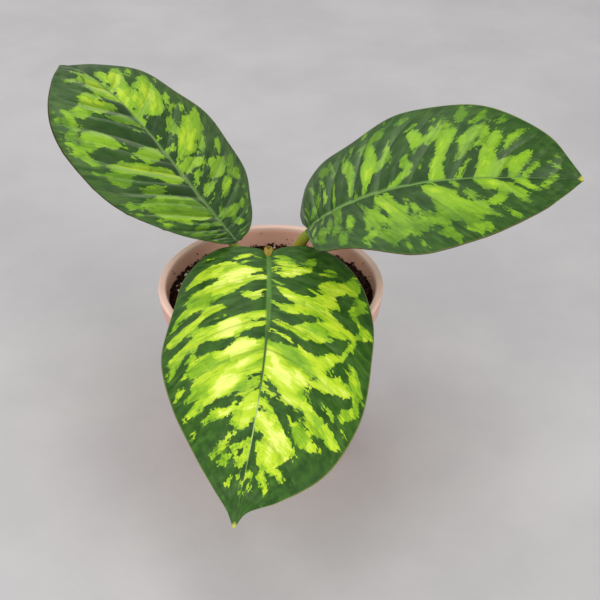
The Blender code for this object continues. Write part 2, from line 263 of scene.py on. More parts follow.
# Pot: one turned wall with a rounded rim, a low collar and a tapered body

pot = {
    "height": 0.106,
    "rimRadius": 0.060,
    "rimWall": 0.0042,
    "lipRound": 0.0012,
    "collarHeight": 0.0118,
    "collarWall": 0.0060,
    "collarFootRadius": 0.0586,
    "collarFootRound": 0.0010,
    "shoulderDrop": 0.0035,
    "shoulderHeight": 0.0030,
    "bodyTopRadius": 0.0555,
    "baseRadius": 0.0425,
    "baseRound": 0.0030,
    "bodyWall": 0.0034,
    "floorThickness": 0.0045,
    "sides": 160,
    "sharpAngle": 50.0,
    "drainHoles": 5,
    "drainRadius": 0.0035,
    "drainCircle": 0.022,
    "drainSides": 28,
    "glaze": ((224, 174, 160), (232, 185, 171)),
    "speckles": (196, 146, 132),
    "innerPaintedLight": (255, 196, 170),
    "innerDepths": (0.0025, 0.0038),  # inwards from the rim's radius, where this painted light sets in
    "innerFade": 0.0008,
    "rimPaintedHighlight": (250, 212, 196),
    "rimDepths": (0.0020, 0.0010),  # below the top, where this painted highlight sets in
    "dust": (112, 70, 52),
    "dustDepths": (0.006, 0.012),
    "dustShare": 0.45,
}


def potInside():  # (radius, height) corners of the inner wall, from the floor up
    collarFoot = pot["height"] - pot["collarHeight"]
    shoulderBottom = collarFoot - pot["shoulderDrop"]
    return [
        (pot["baseRadius"] - pot["bodyWall"], pot["floorThickness"]),
        (pot["bodyTopRadius"] - pot["bodyWall"], shoulderBottom),
        (pot["rimRadius"] - pot["collarWall"], shoulderBottom + pot["shoulderHeight"]),
        (pot["rimRadius"] - pot["rimWall"], pot["height"]),
    ]


def insideRadius(height):
    radii, heights = zip(*potInside())
    return float(np.interp(height, heights, radii))


def potProfile():
    lip = pot["lipRound"]
    lipHeight = pot["height"] - lip
    collarFoot = pot["height"] - pot["collarHeight"]
    footRound = pot["collarFootRound"]
    baseRound = pot["baseRound"]
    corners = potInside()
    profile = [(0, pot["floorThickness"])]
    for low, high in zip(corners, corners[1:]):
        profile += straight(low, high, 8)
    profile += arc((pot["rimRadius"] - pot["rimWall"] + lip, lipHeight), lip, 180, 90, 6)
    profile += arc((pot["rimRadius"] - lip, lipHeight), lip, 90, 0, 6)
    profile += arc((pot["collarFootRadius"] - footRound, collarFoot + footRound), footRound, 0, -90, 5)
    profile += straight((pot["bodyTopRadius"], collarFoot - footRound), (pot["baseRadius"], baseRound), 12)
    profile += arc((pot["baseRadius"] - baseRound, baseRound), baseRound, 0, -90, 6)
    return profile + [(0, 0)]


def potFinish():
    clay = newMaterial("mattePinkGlaze", IOR=1.45, Specular_IOR_Level=0.3)
    place = objectPlace(clay)
    clouds = grain(clay, place, 35.0, 4.0, 0.6)
    speckle = grain(clay, place, 900.0, 2.0)
    tint = toned(clay, clouds, (0.3, 0.7), pot["glaze"])
    tint = over(clay, tint, ranged(clay, speckle, 0.62, 0.72, 0.0, 0.35), pot["speckles"])
    # The inner wall of the collar is painted lighter and warmer, as painted light
    across = addNode(clay, "VectorMath", {0: scaled(clay, place, (1, 1, 0))}, output=1, operation="LENGTH")
    height = axisOf(clay, place, 2)
    collarFoot = pot["height"] - pot["collarHeight"]
    within = ranged(clay, across, *(pot["rimRadius"] - depth for depth in pot["innerDepths"]))
    within = times(clay, within, ranged(clay, height, collarFoot - pot["innerFade"], collarFoot))
    # The rim's top is painted paler, as a painted highlight
    rim = ranged(clay, height, *(pot["height"] - depth for depth in pot["rimDepths"]))
    tint = over(clay, tint, times(clay, within, 0.9), pot["innerPaintedLight"])
    tint = over(clay, tint, times(clay, rim, 0.9), pot["rimPaintedHighlight"])
    # Dust of the soil on the inner wall, just above the filling
    low = ranged(clay, height, *(pot["height"] - depth for depth in pot["dustDepths"]))
    smear = ranged(clay, grain(clay, place, 420.0, 4.0, 0.7), 0.52, 0.66)
    dust = times(clay, times(clay, within, low), smear)
    tint = over(clay, tint, times(clay, dust, pot["dustShare"]), pot["dust"])
    rough = ranged(clay, clouds, 0.2, 0.8, 0.42, 0.60)
    relief = maths(clay, "ADD", times(clay, speckle, 0.3), grain(clay, place, 160.0))
    return finish(clay, Base_Color=tint, Roughness=rough, Normal=bump(clay, relief, 0.00012, 0.5))


def makePot():
    piece = newPiece("potWall", spun(potProfile(), pot["sides"]), [potFinish()])
    drills = bmesh.new()
    radius = pot["drainRadius"]
    size = {"radius1": radius, "radius2": radius, "depth": 4 * pot["floorThickness"]}
    for number in range(pot["drainHoles"]):
        place = onCircle(pot["drainCircle"], tau * (number + 0.5) / pot["drainHoles"])
        spot = Matrix.Translation((*place, 0))
        bmesh.ops.create_cone(drills, cap_ends=True, segments=pot["drainSides"], matrix=spot, **size)
    drill = newPiece("drill", drills, [])
    cut = piece.modifiers.new("drain", "BOOLEAN")
    cut.object = drill
    cut.operation = "DIFFERENCE"
    cut.solver = "EXACT"
    bpy.context.view_layer.update()
    graph = bpy.context.evaluated_depsgraph_get()
    piece.data = bpy.data.meshes.new_from_object(piece.evaluated_get(graph))
    piece.modifiers.clear()
    bpy.data.objects.remove(drill)
    piece.data.set_sharp_from_angle(angle=math.radians(pot["sharpAngle"]))
    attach(piece, "root")
    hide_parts("pot")


# Soil: a lumpy bed with crumbs, perlite grains and bits of bark on it

soil = {
    "belowRim": 0.0118,
    "gap": 0.0003,  # between the bed and the pot, below its edge
    "edgeGap": 0.0002,
    "rings": 56,
    "sides": 200,
    "lumpHeight": 0.0024,
    "lumpReach": 0.009,
    "fineLumps": (0.6, 0.4),  # height and reach, as shares of the lumps'
    "crumble": ((0.0007, 0.0016), (0.0004, 0.0008)),  # heights and reaches of the finest grain
    "climb": 0.0036,  # how far the bed rises at the wall, left and right
    "climbReach": 0.009,
    "clear": 0.0105,  # no loose grains nearer than this to the crown's middle
    "fromWall": 0.001,
    "deepest": -0.001,  # the deepest hollow that a loose grain lies in
    "slimmest": 0.7,  # a loose grain's width, as a share of its length
    "heap": 50,
    "seed": 11,
}
soil["level"] = pot["height"] - soil["belowRim"]

stuffs = {
    "soilDark": {"tones": ((16, 7, 4), (76, 36, 24)), "scale": 500.0, "rough": 0.85},
    "soilBrown": {"tones": ((58, 30, 20), (140, 88, 62)), "scale": 600.0, "rough": 0.85},
    "perlite": {"tones": ((224, 212, 198), (252, 246, 236)), "scale": 700.0, "rough": 0.8},
}

grains = {  # lift and rough are shares of a grain's size
    "soilCrumbs": {
        "stuff": "soilDark", "count": 3200, "size": (0.0003, 0.0013), "lift": 0.35, "rough": 0.8, "detail": 1,
    },
    "soilCrumbsBrown": {
        "stuff": "soilBrown", "count": 800, "size": (0.0003, 0.0013), "lift": 0.4, "rough": 0.8, "detail": 1,
    },
    "soilClods": {
        "stuff": "soilDark", "count": 420, "size": (0.0008, 0.0022), "lift": 0.3, "rough": 1.0, "detail": 2,
    },
    "perliteGrains": {
        "stuff": "perlite", "count": 250, "size": (0.0004, 0.0012), "lift": 0.9, "rough": 0.45, "detail": 2,
    },
}

bark = {
    "count": 90,
    "length": (0.002, 0.006),
    "halfWidth": (0.0004, 0.001),
    "halfThickness": (0.0002, 0.0005),
    "lean": 0.35,
    "lift": 0.0007,
    "warp": (0.0006, 0.002),  # height and reach
    "fromWall": 0.004,
}

wallCrumbs = {  # a ragged edge where the bed meets the wall
    "count": 700,
    "size": (0.0003, 0.0009),
    "climb": 0.0018,
    "sink": 0.0003,
    "fromWall": (0.7, 2.0),  # shares of a crumb's size
}

wallSpecks = {  # crumbs that stick to the inner wall above the bed
    "count": 60,
    "size": (0.0002, 0.0006),
    "lowest": 0.001,
    "climb": 0.009,
    "fromWall": 0.3,
}

crown = {
    "centre": (0.0005, 0.0065),
    "aboveSoil": 0.0055,
    "radius": 0.0098,
    "profile": ((0, 0.0045), (0.5, 0.0055), (0.8, 0.0047), (0.95, 0.0035), (1, 0.0015), (0.94, 0),
                (0.8, -0.006), (0.5, -0.022), (0, -0.024)),  # share of the radius, height above the soil
    "bumps": (0.0006, 0.004),  # height and reach
    "socketDepth": 0.009,
    "footCircle": 0.0047,
    "footRadius": 0.0031,
    "footLean": 14.0,
    "sides": 48,
}


def lump(x, y):  # height of the bed above the mean level
    fineHeight, fineReach = soil["fineLumps"]
    coarse = noise.noise(Vector((x, y, 0)) / soil["lumpReach"])
    fine = noise.noise(Vector((x, y, 0.1)) / (fineReach * soil["lumpReach"]))
    away = math.hypot(x, y)
    near = max(0.0, 1 - (insideRadius(soil["level"]) - away) / soil["climbReach"])
    sideways = abs(x) / max(away, 0.001)
    climb = soil["climb"] * near**1.5 * (0.25 + 0.75 * sideways**2)
    return soil["lumpHeight"] * (coarse + fineHeight * fine) * (1 - 0.6 * near) + climb


def crumbly(x, y):  # finer grain on top of the lumps
    spot = Vector((x, y, 0.3))
    (height, reach), (fineHeight, fineReach) = soil["crumble"]
    return height * noise.noise(spot / reach) + fineHeight * abs(noise.noise(spot / fineReach))


def soilFinish(name, look):
    dirt = newMaterial(name, Roughness=look["rough"], Specular_IOR_Level=0.2)
    place = objectPlace(dirt)
    tint = toned(dirt, grain(dirt, place, look["scale"], 5.0, 0.65), (0.35, 0.68), look["tones"])
    fine = grain(dirt, place, 6 * look["scale"])
    return finish(dirt, Base_Color=tint, Normal=bump(dirt, fine, 0.0003, 0.8))


def loose(piece):  # grains lie on the bed, and stand for no node of their own
    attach(piece, "root")


def makeSoilBed(dirt):
    gap = soil["gap"]
    outside = insideRadius(soil["level"]) - soil["edgeGap"]
    bottom = pot["floorThickness"] + gap
    top = [(outside * ring / soil["rings"], soil["level"]) for ring in range(soil["rings"] + 1)]
    side = [(radius - gap, height) for radius, height in reversed(potInside()[1:3])]
    side.append((potInside()[0][0] - gap, bottom))
    bm = spun(top + side + [(0, bottom)], soil["sides"])
    for vert in bm.verts:
        if vert.co.z > soil["level"] - 0.0001:  # the top only
            toWall = outside - vert.co.xy.length
            rise = lump(vert.co.x, vert.co.y) + crumbly(vert.co.x, vert.co.y)
            vert.co.z += max(rise, -toWall / 2)
    bed = newPiece("soilBed", bm, [dirt])
    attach(bed, "root")
    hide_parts("soil")


def scatter(rng, reach):  # a random spot on the bed, off the crown
    while True:
        turn = rng.uniform(0, tau)
        away = reach * math.sqrt(rng.random())
        x, y = onCircle(away, turn)
        if math.hypot(x - crown["centre"][0], y - crown["centre"][1]) > soil["clear"]:
            return x, y


def tumble(rng):
    turn = rng.uniform(0, tau)
    axis = Vector([rng.uniform(-1, 1) for _ in range(3)])
    return Matrix.Rotation(turn, 4, axis.normalized())


def addLump(bm, rng, place, size, stretch, rough, detail):  # one crumb: a small ball pushed out of round
    shape = Matrix.Diagonal((*stretch, 1.0))
    spot = Matrix.Translation(place) @ tumble(rng) @ shape
    made = bmesh.ops.create_icosphere(bm, subdivisions=detail, radius=size, matrix=spot)["verts"]
    middle = Vector(place)
    for vert in made:
        push = noise.noise(vert.co / (0.9 * size) + Vector((size * 9000, 0, 0)))
        vert.co += (vert.co - middle) * rough * push


def heaped(count, addOne):  # many lumps, made in small heaps, because one growing mesh gets slow
    whole = bmesh.new()
    heap = bmesh.new()
    store = bpy.data.meshes.new("heap")
    for number in range(count):
        addOne(heap)
        if number % soil["heap"] == soil["heap"] - 1 or number == count - 1:
            heap.to_mesh(store)
            whole.from_mesh(store)
            heap.clear()
    heap.free()
    bpy.data.meshes.remove(store)
    return whole


def makeGrains(name, look, dirt, rng):
    reach = insideRadius(soil["level"]) - soil["fromWall"]
    small, large = look["size"]

    def addOne(bm):
        size = small + (large - small) * rng.random() ** 2
        x, y = scatter(rng, reach - size)
        z = soil["level"] + max(lump(x, y), soil["deepest"]) + size * look["lift"]
        shares = (1.0, rng.uniform(soil["slimmest"], 1.0), rng.uniform(soil["slimmest"], 1.0))
        addLump(bm, rng, (x, y, z), size, shares, look["rough"], look["detail"])

    loose(newPiece(name, heaped(look["count"], addOne), [dirt]))


def makeBark(dirt, rng):
    bm = bmesh.new()
    reach = insideRadius(soil["level"]) - bark["fromWall"]
    warp, warpReach = bark["warp"]
    for _ in range(bark["count"]):
        x, y = scatter(rng, reach)
        halfLength = rng.uniform(*bark["length"]) / 2
        flat = (halfLength, rng.uniform(*bark["halfWidth"]), rng.uniform(*bark["halfThickness"]), 1.0)
        heading = Matrix.Rotation(rng.uniform(0, tau), 4, "Z")
        lean = Matrix.Rotation(rng.uniform(-bark["lean"], bark["lean"]), 4, "Y")
        place = Matrix.Translation((x, y, soil["level"] + lump(x, y) + bark["lift"]))
        spot = place @ (heading @ lean) @ Matrix.Diagonal(flat)
        made = bmesh.ops.create_icosphere(bm, subdivisions=1, radius=1.0, matrix=spot)["verts"]
        for vert in made:
            vert.co.z += warp * noise.noise(vert.co / warpReach)
    loose(newPiece("barkBits", bm, [dirt]))


def makeWallCrumbs(dirt, rng):
    edge = insideRadius(soil["level"]) - 0.0005

    def addOne(bm):
        turn = rng.uniform(0, tau)
        size = rng.uniform(*wallCrumbs["size"])
        height = soil["level"] + lump(*onCircle(edge, turn))
        height += wallCrumbs["climb"] * rng.random() ** 2.5 - wallCrumbs["sink"]
        away = insideRadius(height) - size * rng.uniform(*wallCrumbs["fromWall"])
        place = (*onCircle(away, turn), height)
        addLump(bm, rng, place, size, (1.0, rng.uniform(0.5, 1.0), 0.8), 0.7, 1)

    loose(newPiece("wallCrumbs", heaped(wallCrumbs["count"], addOne), [dirt]))


def makeWallSpecks(dirt, rng):
    bm = bmesh.new()
    for _ in range(wallSpecks["count"]):
        turn = rng.uniform(0, tau)
        height = soil["level"] + wallSpecks["lowest"] + wallSpecks["climb"] * rng.random() ** 2
        size = rng.uniform(*wallSpecks["size"])
        away = insideRadius(height) - wallSpecks["fromWall"] * size
        addLump(bm, rng, (*onCircle(away, turn), height), size, (1.0, 0.8, 0.8), 0.5, 1)
    loose(newPiece("wallSpecks", bm, [dirt]))


def makeSoil():
    rng = random.Random(soil["seed"])
    finishes = {name: soilFinish(name, look) for name, look in stuffs.items()}
    makeSoilBed(finishes["soilDark"])
    for name, look in grains.items():
        makeGrains(name, look, finishes[look["stuff"]], rng)
    makeBark(finishes["soilBrown"], rng)
    makeWallCrumbs(finishes["soilDark"], rng)
    makeWallSpecks(finishes["soilDark"], rng)


# Leaves: the blade is a grid whose rows run along the side veins, on a bent and twisted midrib

left, right = 1, -1  # sides of a blade, looking from its base to its tip

blade = {
    "thickness": 0.0006,
    "rows": 280,
    "columns": 68,  # on each half
    "columnCrowding": 1.25,  # closer together near the midrib
    "firstRow": 0.03,
    "lastRow": 0.997,
    "sideVeins": 19,
    "veinOffset": 0.035,
    "veinSpan": 0.95,  # share of the rows over which the side veins are spread
    "veinShares": (0.66, 0.34),  # relief of every second vein, and of every vein
    "veinSway": 0.007,
    "swayTurns": (5, 23),  # out along the veins, and along the blade
    "puffRound": 0.8,  # less than 1 makes the swellings fuller
    "veinLean": 0.35,
    "veinSpread": 0.60,
    "veinGroove": 0.16,
    "edgeStations": (0.20, 0.40, 0.62, 0.80, 0.90, 0.955),
    "sinusWidth": 0.22,
    "widthWeight": 0.34,
    "edgeWaves": 4.5,
    "edgeWaveHeight": 0.0007,
    "channelDepth": (0.0010, 0.0003),  # the midrib's channel at the base and at the tip
    "channelWidth": (0.0024, 0.0008),
    "ribShare": 0.55,  # height and width of the rib in its channel, as shares of the channel's
    "ribNarrow": 0.45,
    "ribToneStations": (0, 0.10, 0.20, 0.31, 0.36, 0.52, 0.60, 0.75, 0.85, 1),  # shares of the midrib
    "ribWidthStations": (0, 0.30, 0.40, 1),
    "spineSteps": 120,
    "slopeStep": 0.003,  # rows over which the quilting's slope is read
    "slopeFull": 0.3,
    "slopeFade": (0.60, 0.95),  # where this painted sheen and shade fade towards the edge
    "hazeFade": (0.45, 0.85),
    "bronzeEnd": 0.86,
    "strokeEnd": 0.09,  # how fast a stroke tapers at its ends
    "fleckEnd": 0.08,
    "fieldReach": 0.03,
    "toneBlur": 0.016,
    "deepDrop": 0.30,
}

stalk = {
    "radii": (0.0034, 0.0034, 0.0022),  # at the foot, half way up and at the blade
    "straight": 0.004,
    "bendSteps": 30,
    "ribSteps": 90,
    "ribCrowding": 1.4,
    "ribHold": 0.002,  # share of the midrib over which the bend stays up, and then sinks
    "ribSink": 0.014,
    "ribLift": 0.0002,
    "ribGap": 0.0003,
    "ribReach": 0.90,
    "ribEnd": 0.0005,
    "ribTaper": 0.6,
    "rings": 150,
    "sides": 20,
    "groove": (0.10, 0.5),  # depth, as a share of the radius, and width in radians
    "ridges": (0.012, 9),  # height, as a share of the radius, and number
    "greenReach": 0.012,
    "weld": 0.00001,
}

leaves = {
    "leaf_front": {
        "base": (-0.0011, -0.0029, 0.1276),
        "length": 0.1585,
        "halfWidth": {left: 0.0551, right: 0.0530},
        "heading": (-86.7, -18.8),  # at the base, and its change to the tip, in degrees
        "pitch": (-15.9, -42.3, 8.0),  # at the base, at the tip, and the arch between
        "roll": (-2.0, -3.6),
        "fold": {left: 1.9, right: 3.8},
        "curl": {left: -25.1, right: -38.0},
        "lobeDrop": 0.15,
        "lobe": {left: (-0.023, -0.026, 0.056), right: (-0.023, -0.026, 0.056)},
        "widths": {
            left: (0.48, 0.81, 0.99, 0.99, 0.91, 0.66, 0.32, 0.06),
            right: (0.50, 0.83, 0.96, 1.05, 0.83, 0.48, 0.23, 0.08),
        },
        "quilt": {left: 0.0009, right: 0.0010},
        "slopeShading": {left: 0.05, right: 0.06},
        "tone": 0.60,
        "greyAndSheen": 0.3,
        "swing": 1.0,
        "grow": 0.0,
        "ribWidths": (0.0012, 0.0009, 0.0006, 0.0004),
        "ribTones": (0.30, 0.36, 0.38, 0.32, 0.12, 0.08, 0.85, 0.90, 0.50, 0.40),
        "toneSpread": 0.32,
        "mid": 0.0,
        "bronze": {left: 0.2, right: 0.2},
        "pulls": (0.45, 0.14),
        "bendRise": 1.0,
        "stalkShade": 0.0,  # how dark the outer side is, and how green the top
        "stalkGreen": 0.0,
        "footTurn": -90.0,
    },
    "leaf_left": {
        "base": (-0.0173, 0.0071, 0.1271),
        "length": 0.1598,
        "halfWidth": {left: 0.0512, right: 0.0512},
        "heading": (144.2, -15.5),
        "pitch": (31.2, -22.1, 25.0),
        "roll": (10.1, -4.5),
        "fold": {left: 12.5, right: 2.4},
        "curl": {left: -29.2, right: -16.7},
        "lobeDrop": 0.30,
        "lobe": {left: (0.009, 0.056, 0.131), right: (0.009, 0.056, 0.131)},
        "widths": {
            left: (0.44, 0.71, 0.87, 1.09, 0.96, 0.51, 0.21, 0.09),
            right: (0.51, 0.77, 0.95, 1.06, 0.83, 0.56, 0.24, 0.01),
        },
        "quilt": {left: 0.0027, right: 0.0010},
        "slopeShading": {left: 0.46, right: 0.14},
        "tone": 0.34,
        "greyAndSheen": 1.0,
        "swing": 0.8,
        "grow": 0.0018,
        "ribWidths": (0.0013, 0.0013, 0.0012, 0.0006),
        "ribTones": (0.40, 0.46, 0.56, 0.60, 0.60, 0.60, 0.58, 0.54, 0.50, 0.45),
        "toneSpread": 0.18,
        "mid": 0.42,
        "bronze": {left: 1.0, right: 0.3},
        "pulls": (0.45, 0.40),
        "bendRise": 0.0,
        "stalkShade": 0.5,
        "stalkGreen": 0.6,
        "footTurn": 150.0,
    },
    "leaf_right": {
        "base": (0.0190, 0.0098, 0.1332),
        "length": 0.1542,
        "halfWidth": {left: 0.0526, right: 0.0507},
        "heading": (-5.9, 17.1),
        "pitch": (46.4, -7.6, -13.9),
        "roll": (1.5, 31.7),
        "fold": {left: 17.4, right: 16.0},
        "curl": {left: -27.4, right: -18.0},
        "lobeDrop": 0.50,
        "lobe": {left: (-0.029, -0.042, 0.048), right: (0.030, 0.066, 0.078)},
        "widths": {
            left: (0.50, 0.82, 0.86, 0.98, 0.91, 0.66, 0.41, 0.18),
            right: (0.56, 0.72, 0.92, 1.09, 0.83, 0.50, 0.26, 0.12),
        },
        "quilt": {left: 0.0015, right: 0.0010},
        "slopeShading": {left: 0.18, right: 0.08},
        "tone": 0.26,
        "greyAndSheen": 0.8,
        "swing": 0.6,
        "grow": 0.0012,
        "ribWidths": (0.0012, 0.0009, 0.0006, 0.0003),
        "ribTones": (0.45, 0.50, 0.50, 0.46, 0.42, 0.40, 0.36, 0.34, 0.30, 0.30),
        "toneSpread": 0.16,
        "mid": 0.10,
        "bronze": {left: 0.0, right: 0.6},
        "pulls": (0.30, 0.12),
        "bendRise": 0.35,
        "stalkShade": 1.0,
        "stalkGreen": 0.8,
        "footTurn": 30.0,
    },
}


# The leaf's markings, as strokes that run out along the side veins. Each stroke is a row of
# (place along the blade, share of the way out to the edge, half width), all in percent. The light
# strokes are painted on dark green, then the dark ones over them, then the flecks. The pale and
# deep ones only change the tone of the light patches. On the near half of the left leaf they are
# partly painted light and shade on the slopes of the quilting, and the broad deep ones near the
# base of each blade are painted shade.
markings = {}

markings["leaf_front", left] = {
    "light": (
        ((16.5, 8, 0.8), (18, 15, 2.2), (19.5, 22, 3), (21, 28, 1.2)),
        ((22, 7, 1.5), (22.8, 14, 3), (24, 22, 3), (25, 30, 1.5)),
        ((25, 12, 2), (26, 20, 3), (27, 26, 2)),
        ((28.5, 5, 2), (29.5, 12, 3.5), (29, 20, 2.8), (27.5, 28, 2.2), (26.2, 38, 1.5), (25, 42, 0.8)),
        ((23, 36, 1), (22.5, 42, 1.8), (20.5, 50, 1.8), (19, 57, 0.8)),
        ((34.5, 40, 0.8), (34, 48, 3), (32.5, 56, 3.5), (31, 65, 2.2), (30, 75, 2.2), (28.4, 85, 2.4),
         (26.6, 93, 2.2), (25, 98, 1.2)),
        ((39, 73, 0.8), (40.2, 80, 1.7), (41, 85, 1)),
        ((39.5, 7, 1), (40.8, 13, 2.2), (42, 20, 2.2), (43, 28, 3), (43, 38, 4.2), (42, 48, 6.5),
         (42, 56, 7.5), (44.5, 64, 4), (45.5, 72, 2.4), (46.5, 80, 1)),
        ((46.3, 3, 0.6), (47.6, 10, 1.3), (47.2, 18, 2), (46, 26, 3), (45, 36, 2)),
        ((52.8, 3, 0.6), (54.5, 10, 1.3), (54.8, 20, 1.8), (53.5, 28, 2.8), (51.5, 36, 3.2),
         (50, 45, 4), (48, 54, 4)),
        ((65.5, 0, 4.6), (66.4, 10, 5.8), (66.4, 20, 7.5), (66, 30, 8), (65.5, 40, 7.5), (65, 46, 6.5)),
        ((72.4, 0, 2), (73, 8, 1.6), (73, 18, 1.3), (72.5, 30, 1)),
        ((60, 34, 3.5), (60, 42, 4), (59, 50, 4.5), (57, 57, 4.2), (54, 63, 3), (51, 70, 2.2),
         (48.5, 76, 1)),
        ((62, 45, 3.5), (61.5, 55, 4), (61, 65, 3.5), (61, 73, 2.2), (59.5, 80, 1.5), (59, 84, 0.7)),
        ((72.5, 40, 2), (72.5, 50, 2.2), (72.5, 62, 2), (72, 75, 1.8), (71.8, 88, 1.2), (71.3, 95, 0.5)),
        ((76.3, 34, 1), (77, 46, 2), (77, 58, 2), (77, 68, 1.4), (76, 79, 0.7)),
        ((54.5, 75, 1.5), (55.5, 82, 3), (57.5, 88, 3.8), (59.5, 94, 3)),
        ((65.5, 79, 1.2), (65, 84, 1.9), (63, 89, 2.2), (60.5, 94, 2)),
        ((79, 0, 3.2), (81, 10, 5.4), (82.3, 20, 5.9), (83.2, 30, 4.9), (83.5, 40, 4.4), (83.5, 48, 4.2),
         (82.5, 55, 2.4), (81.5, 62, 0.9)),
        ((86, 45, 1.6), (87, 53, 1), (86, 60, 0.8), (86, 75, 0.5)),
        ((88.5, 30, 1.6), (89.5, 45, 1.1), (89.8, 58, 0.7), (90.5, 73, 0.4)),
        ((91.5, 0, 0.8), (91, 8, 0.9), (90.5, 20, 0.5)),
        ((44.5, 77, 1.2), (42.5, 85, 1.6), (41, 92, 1.8), (41, 98, 0.7)),
        ((38, 71, 1), (36, 77, 2.6), (34, 84, 2.4), (33, 92, 1.4)),
    ),
    "dark": (
        ((51, 0, 2.3), (51.2, 12, 1.8), (50, 20, 1.4), (48.7, 28, 1.3), (47.5, 36, 1.3), (46.8, 43, 0.6)),
        ((56.5, 0, 2), (56, 12, 1.3), (56.8, 25, 1.3), (57.2, 36, 1.5), (56, 45, 1.9), (54, 52, 2),
         (52, 58, 1.8), (51, 66, 2), (48.5, 70, 1.6), (47.5, 74, 0.7)),
        ((59, 0, 1.3), (59.2, 12, 1), (58.8, 24, 0.4)),
        ((68, 44, 0.6), (68, 52, 1.5), (67.5, 60, 2.5), (66.5, 68, 3.1), (65.5, 75, 3.5), (66, 81, 1)),
        ((41.8, 53, 0.6), (41.5, 60, 1.7), (41, 66, 2.8), (42, 74, 2.3), (41.5, 81, 1.2)),
        ((38, 60, 0.9), (36, 66, 3), (34.5, 72, 2.6), (33.5, 77, 0.9)),
        ((59.5, 59, 1.2), (57.5, 63, 2.2), (56, 68, 2), (55.2, 75, 1.2)),
        ((75, 5, 0.4), (75.4, 12, 0.8), (76, 20, 1.1), (77, 28, 1.3), (77.5, 38, 1.1), (78.3, 44, 0.5)),
        ((78.4, 2, 0.4), (78.7, 12, 0.4)),
        ((75.3, 29, 0.5), (74.8, 40, 1.2), (74, 46, 1.2), (73.7, 51, 0.5)),
        ((72.4, 3, 0.4), (72.6, 10, 0.6), (72.8, 18, 0.3)),
        ((83.7, 0, 0.6), (83.5, 10, 0.7), (83.3, 17, 0.3)),
        ((86.6, 3, 0.6), (86.8, 15, 0.3)),
        ((88.5, 0, 0.8), (88.6, 12, 1), (89, 24, 0.6)),
        ((28, 9, 1.5), (29, 12, 0.4)),
    ),
    "fleck": (
        ((57.3, 4, 0.4), (57.8, 15, 0.6), (58.5, 27, 0.6)),
        ((67.8, 65, 0.6), (68, 73, 0.5)),
        ((35.5, 2, 0.8), (36.5, 6, 0.7), (37.5, 10, 0.4)),
        ((36, 30, 0.3), (37, 38, 0.4), (37.5, 46, 0.3)),
        ((92.5, 22, 0.3), (92.6, 32, 0.5), (92.7, 43, 0.3)),
        ((94, 4, 0.4), (93.8, 14, 0.3)),
        ((68.3, 88, 0.4), (68.5, 93, 0.6)),
        ((27.4, 51, 0.5), (26.6, 60, 0.8), (26, 68, 0.4)),
        ((25, 54, 0.5), (24.7, 64, 0.7), (24.4, 72, 0.4)),
    ),
    "pale": (
        ((40.5, 8, 1.5), (41.2, 15, 2.4), (42.5, 21, 2)),
        ((29.5, 12, 1.5), (28.5, 21, 1.6), (28, 29, 1.2)),
        ((57, 5, 0.6), (57.7, 18, 0.8), (58.3, 34, 1)),
        ((65.5, 3, 3), (67.5, 12, 2.4), (68, 22, 2.4), (67.5, 32, 3), (66.5, 43, 1.6)),
        ((72, 20, 1), (73, 30, 1.2), (72.5, 39, 1)),
        ((79, 2, 1.8), (80, 12, 1), (81, 25, 1.2), (81.5, 40, 2.2), (81.5, 52, 1.5)),
        ((84.5, 28, 2), (85.5, 40, 1.5)),
        ((62, 72, 1.2), (60, 84, 1)),
    ),
    "deep": (
        ((61.5, 10, 1), (62, 22, 1.9), (62.6, 32, 1.7), (63, 44, 1)),
        ((68.7, 36, 0.9), (69, 50, 0.8)),
        ((50.5, 36, 2), (50, 48, 2)),
        ((45, 33, 1), (44.5, 46, 1)),
        ((73, 62, 1.5), (72.4, 82, 1.2)),
        ((77, 50, 1.5), (77, 64, 1)),
        ((37, 72, 4), (34, 92, 4)),
        ((56, 80, 3), (58, 90, 4), (61, 97, 4)),
        ((18, 10, 3), (20, 40, 5), (22, 70, 6), (26, 95, 4)),
    ),
}

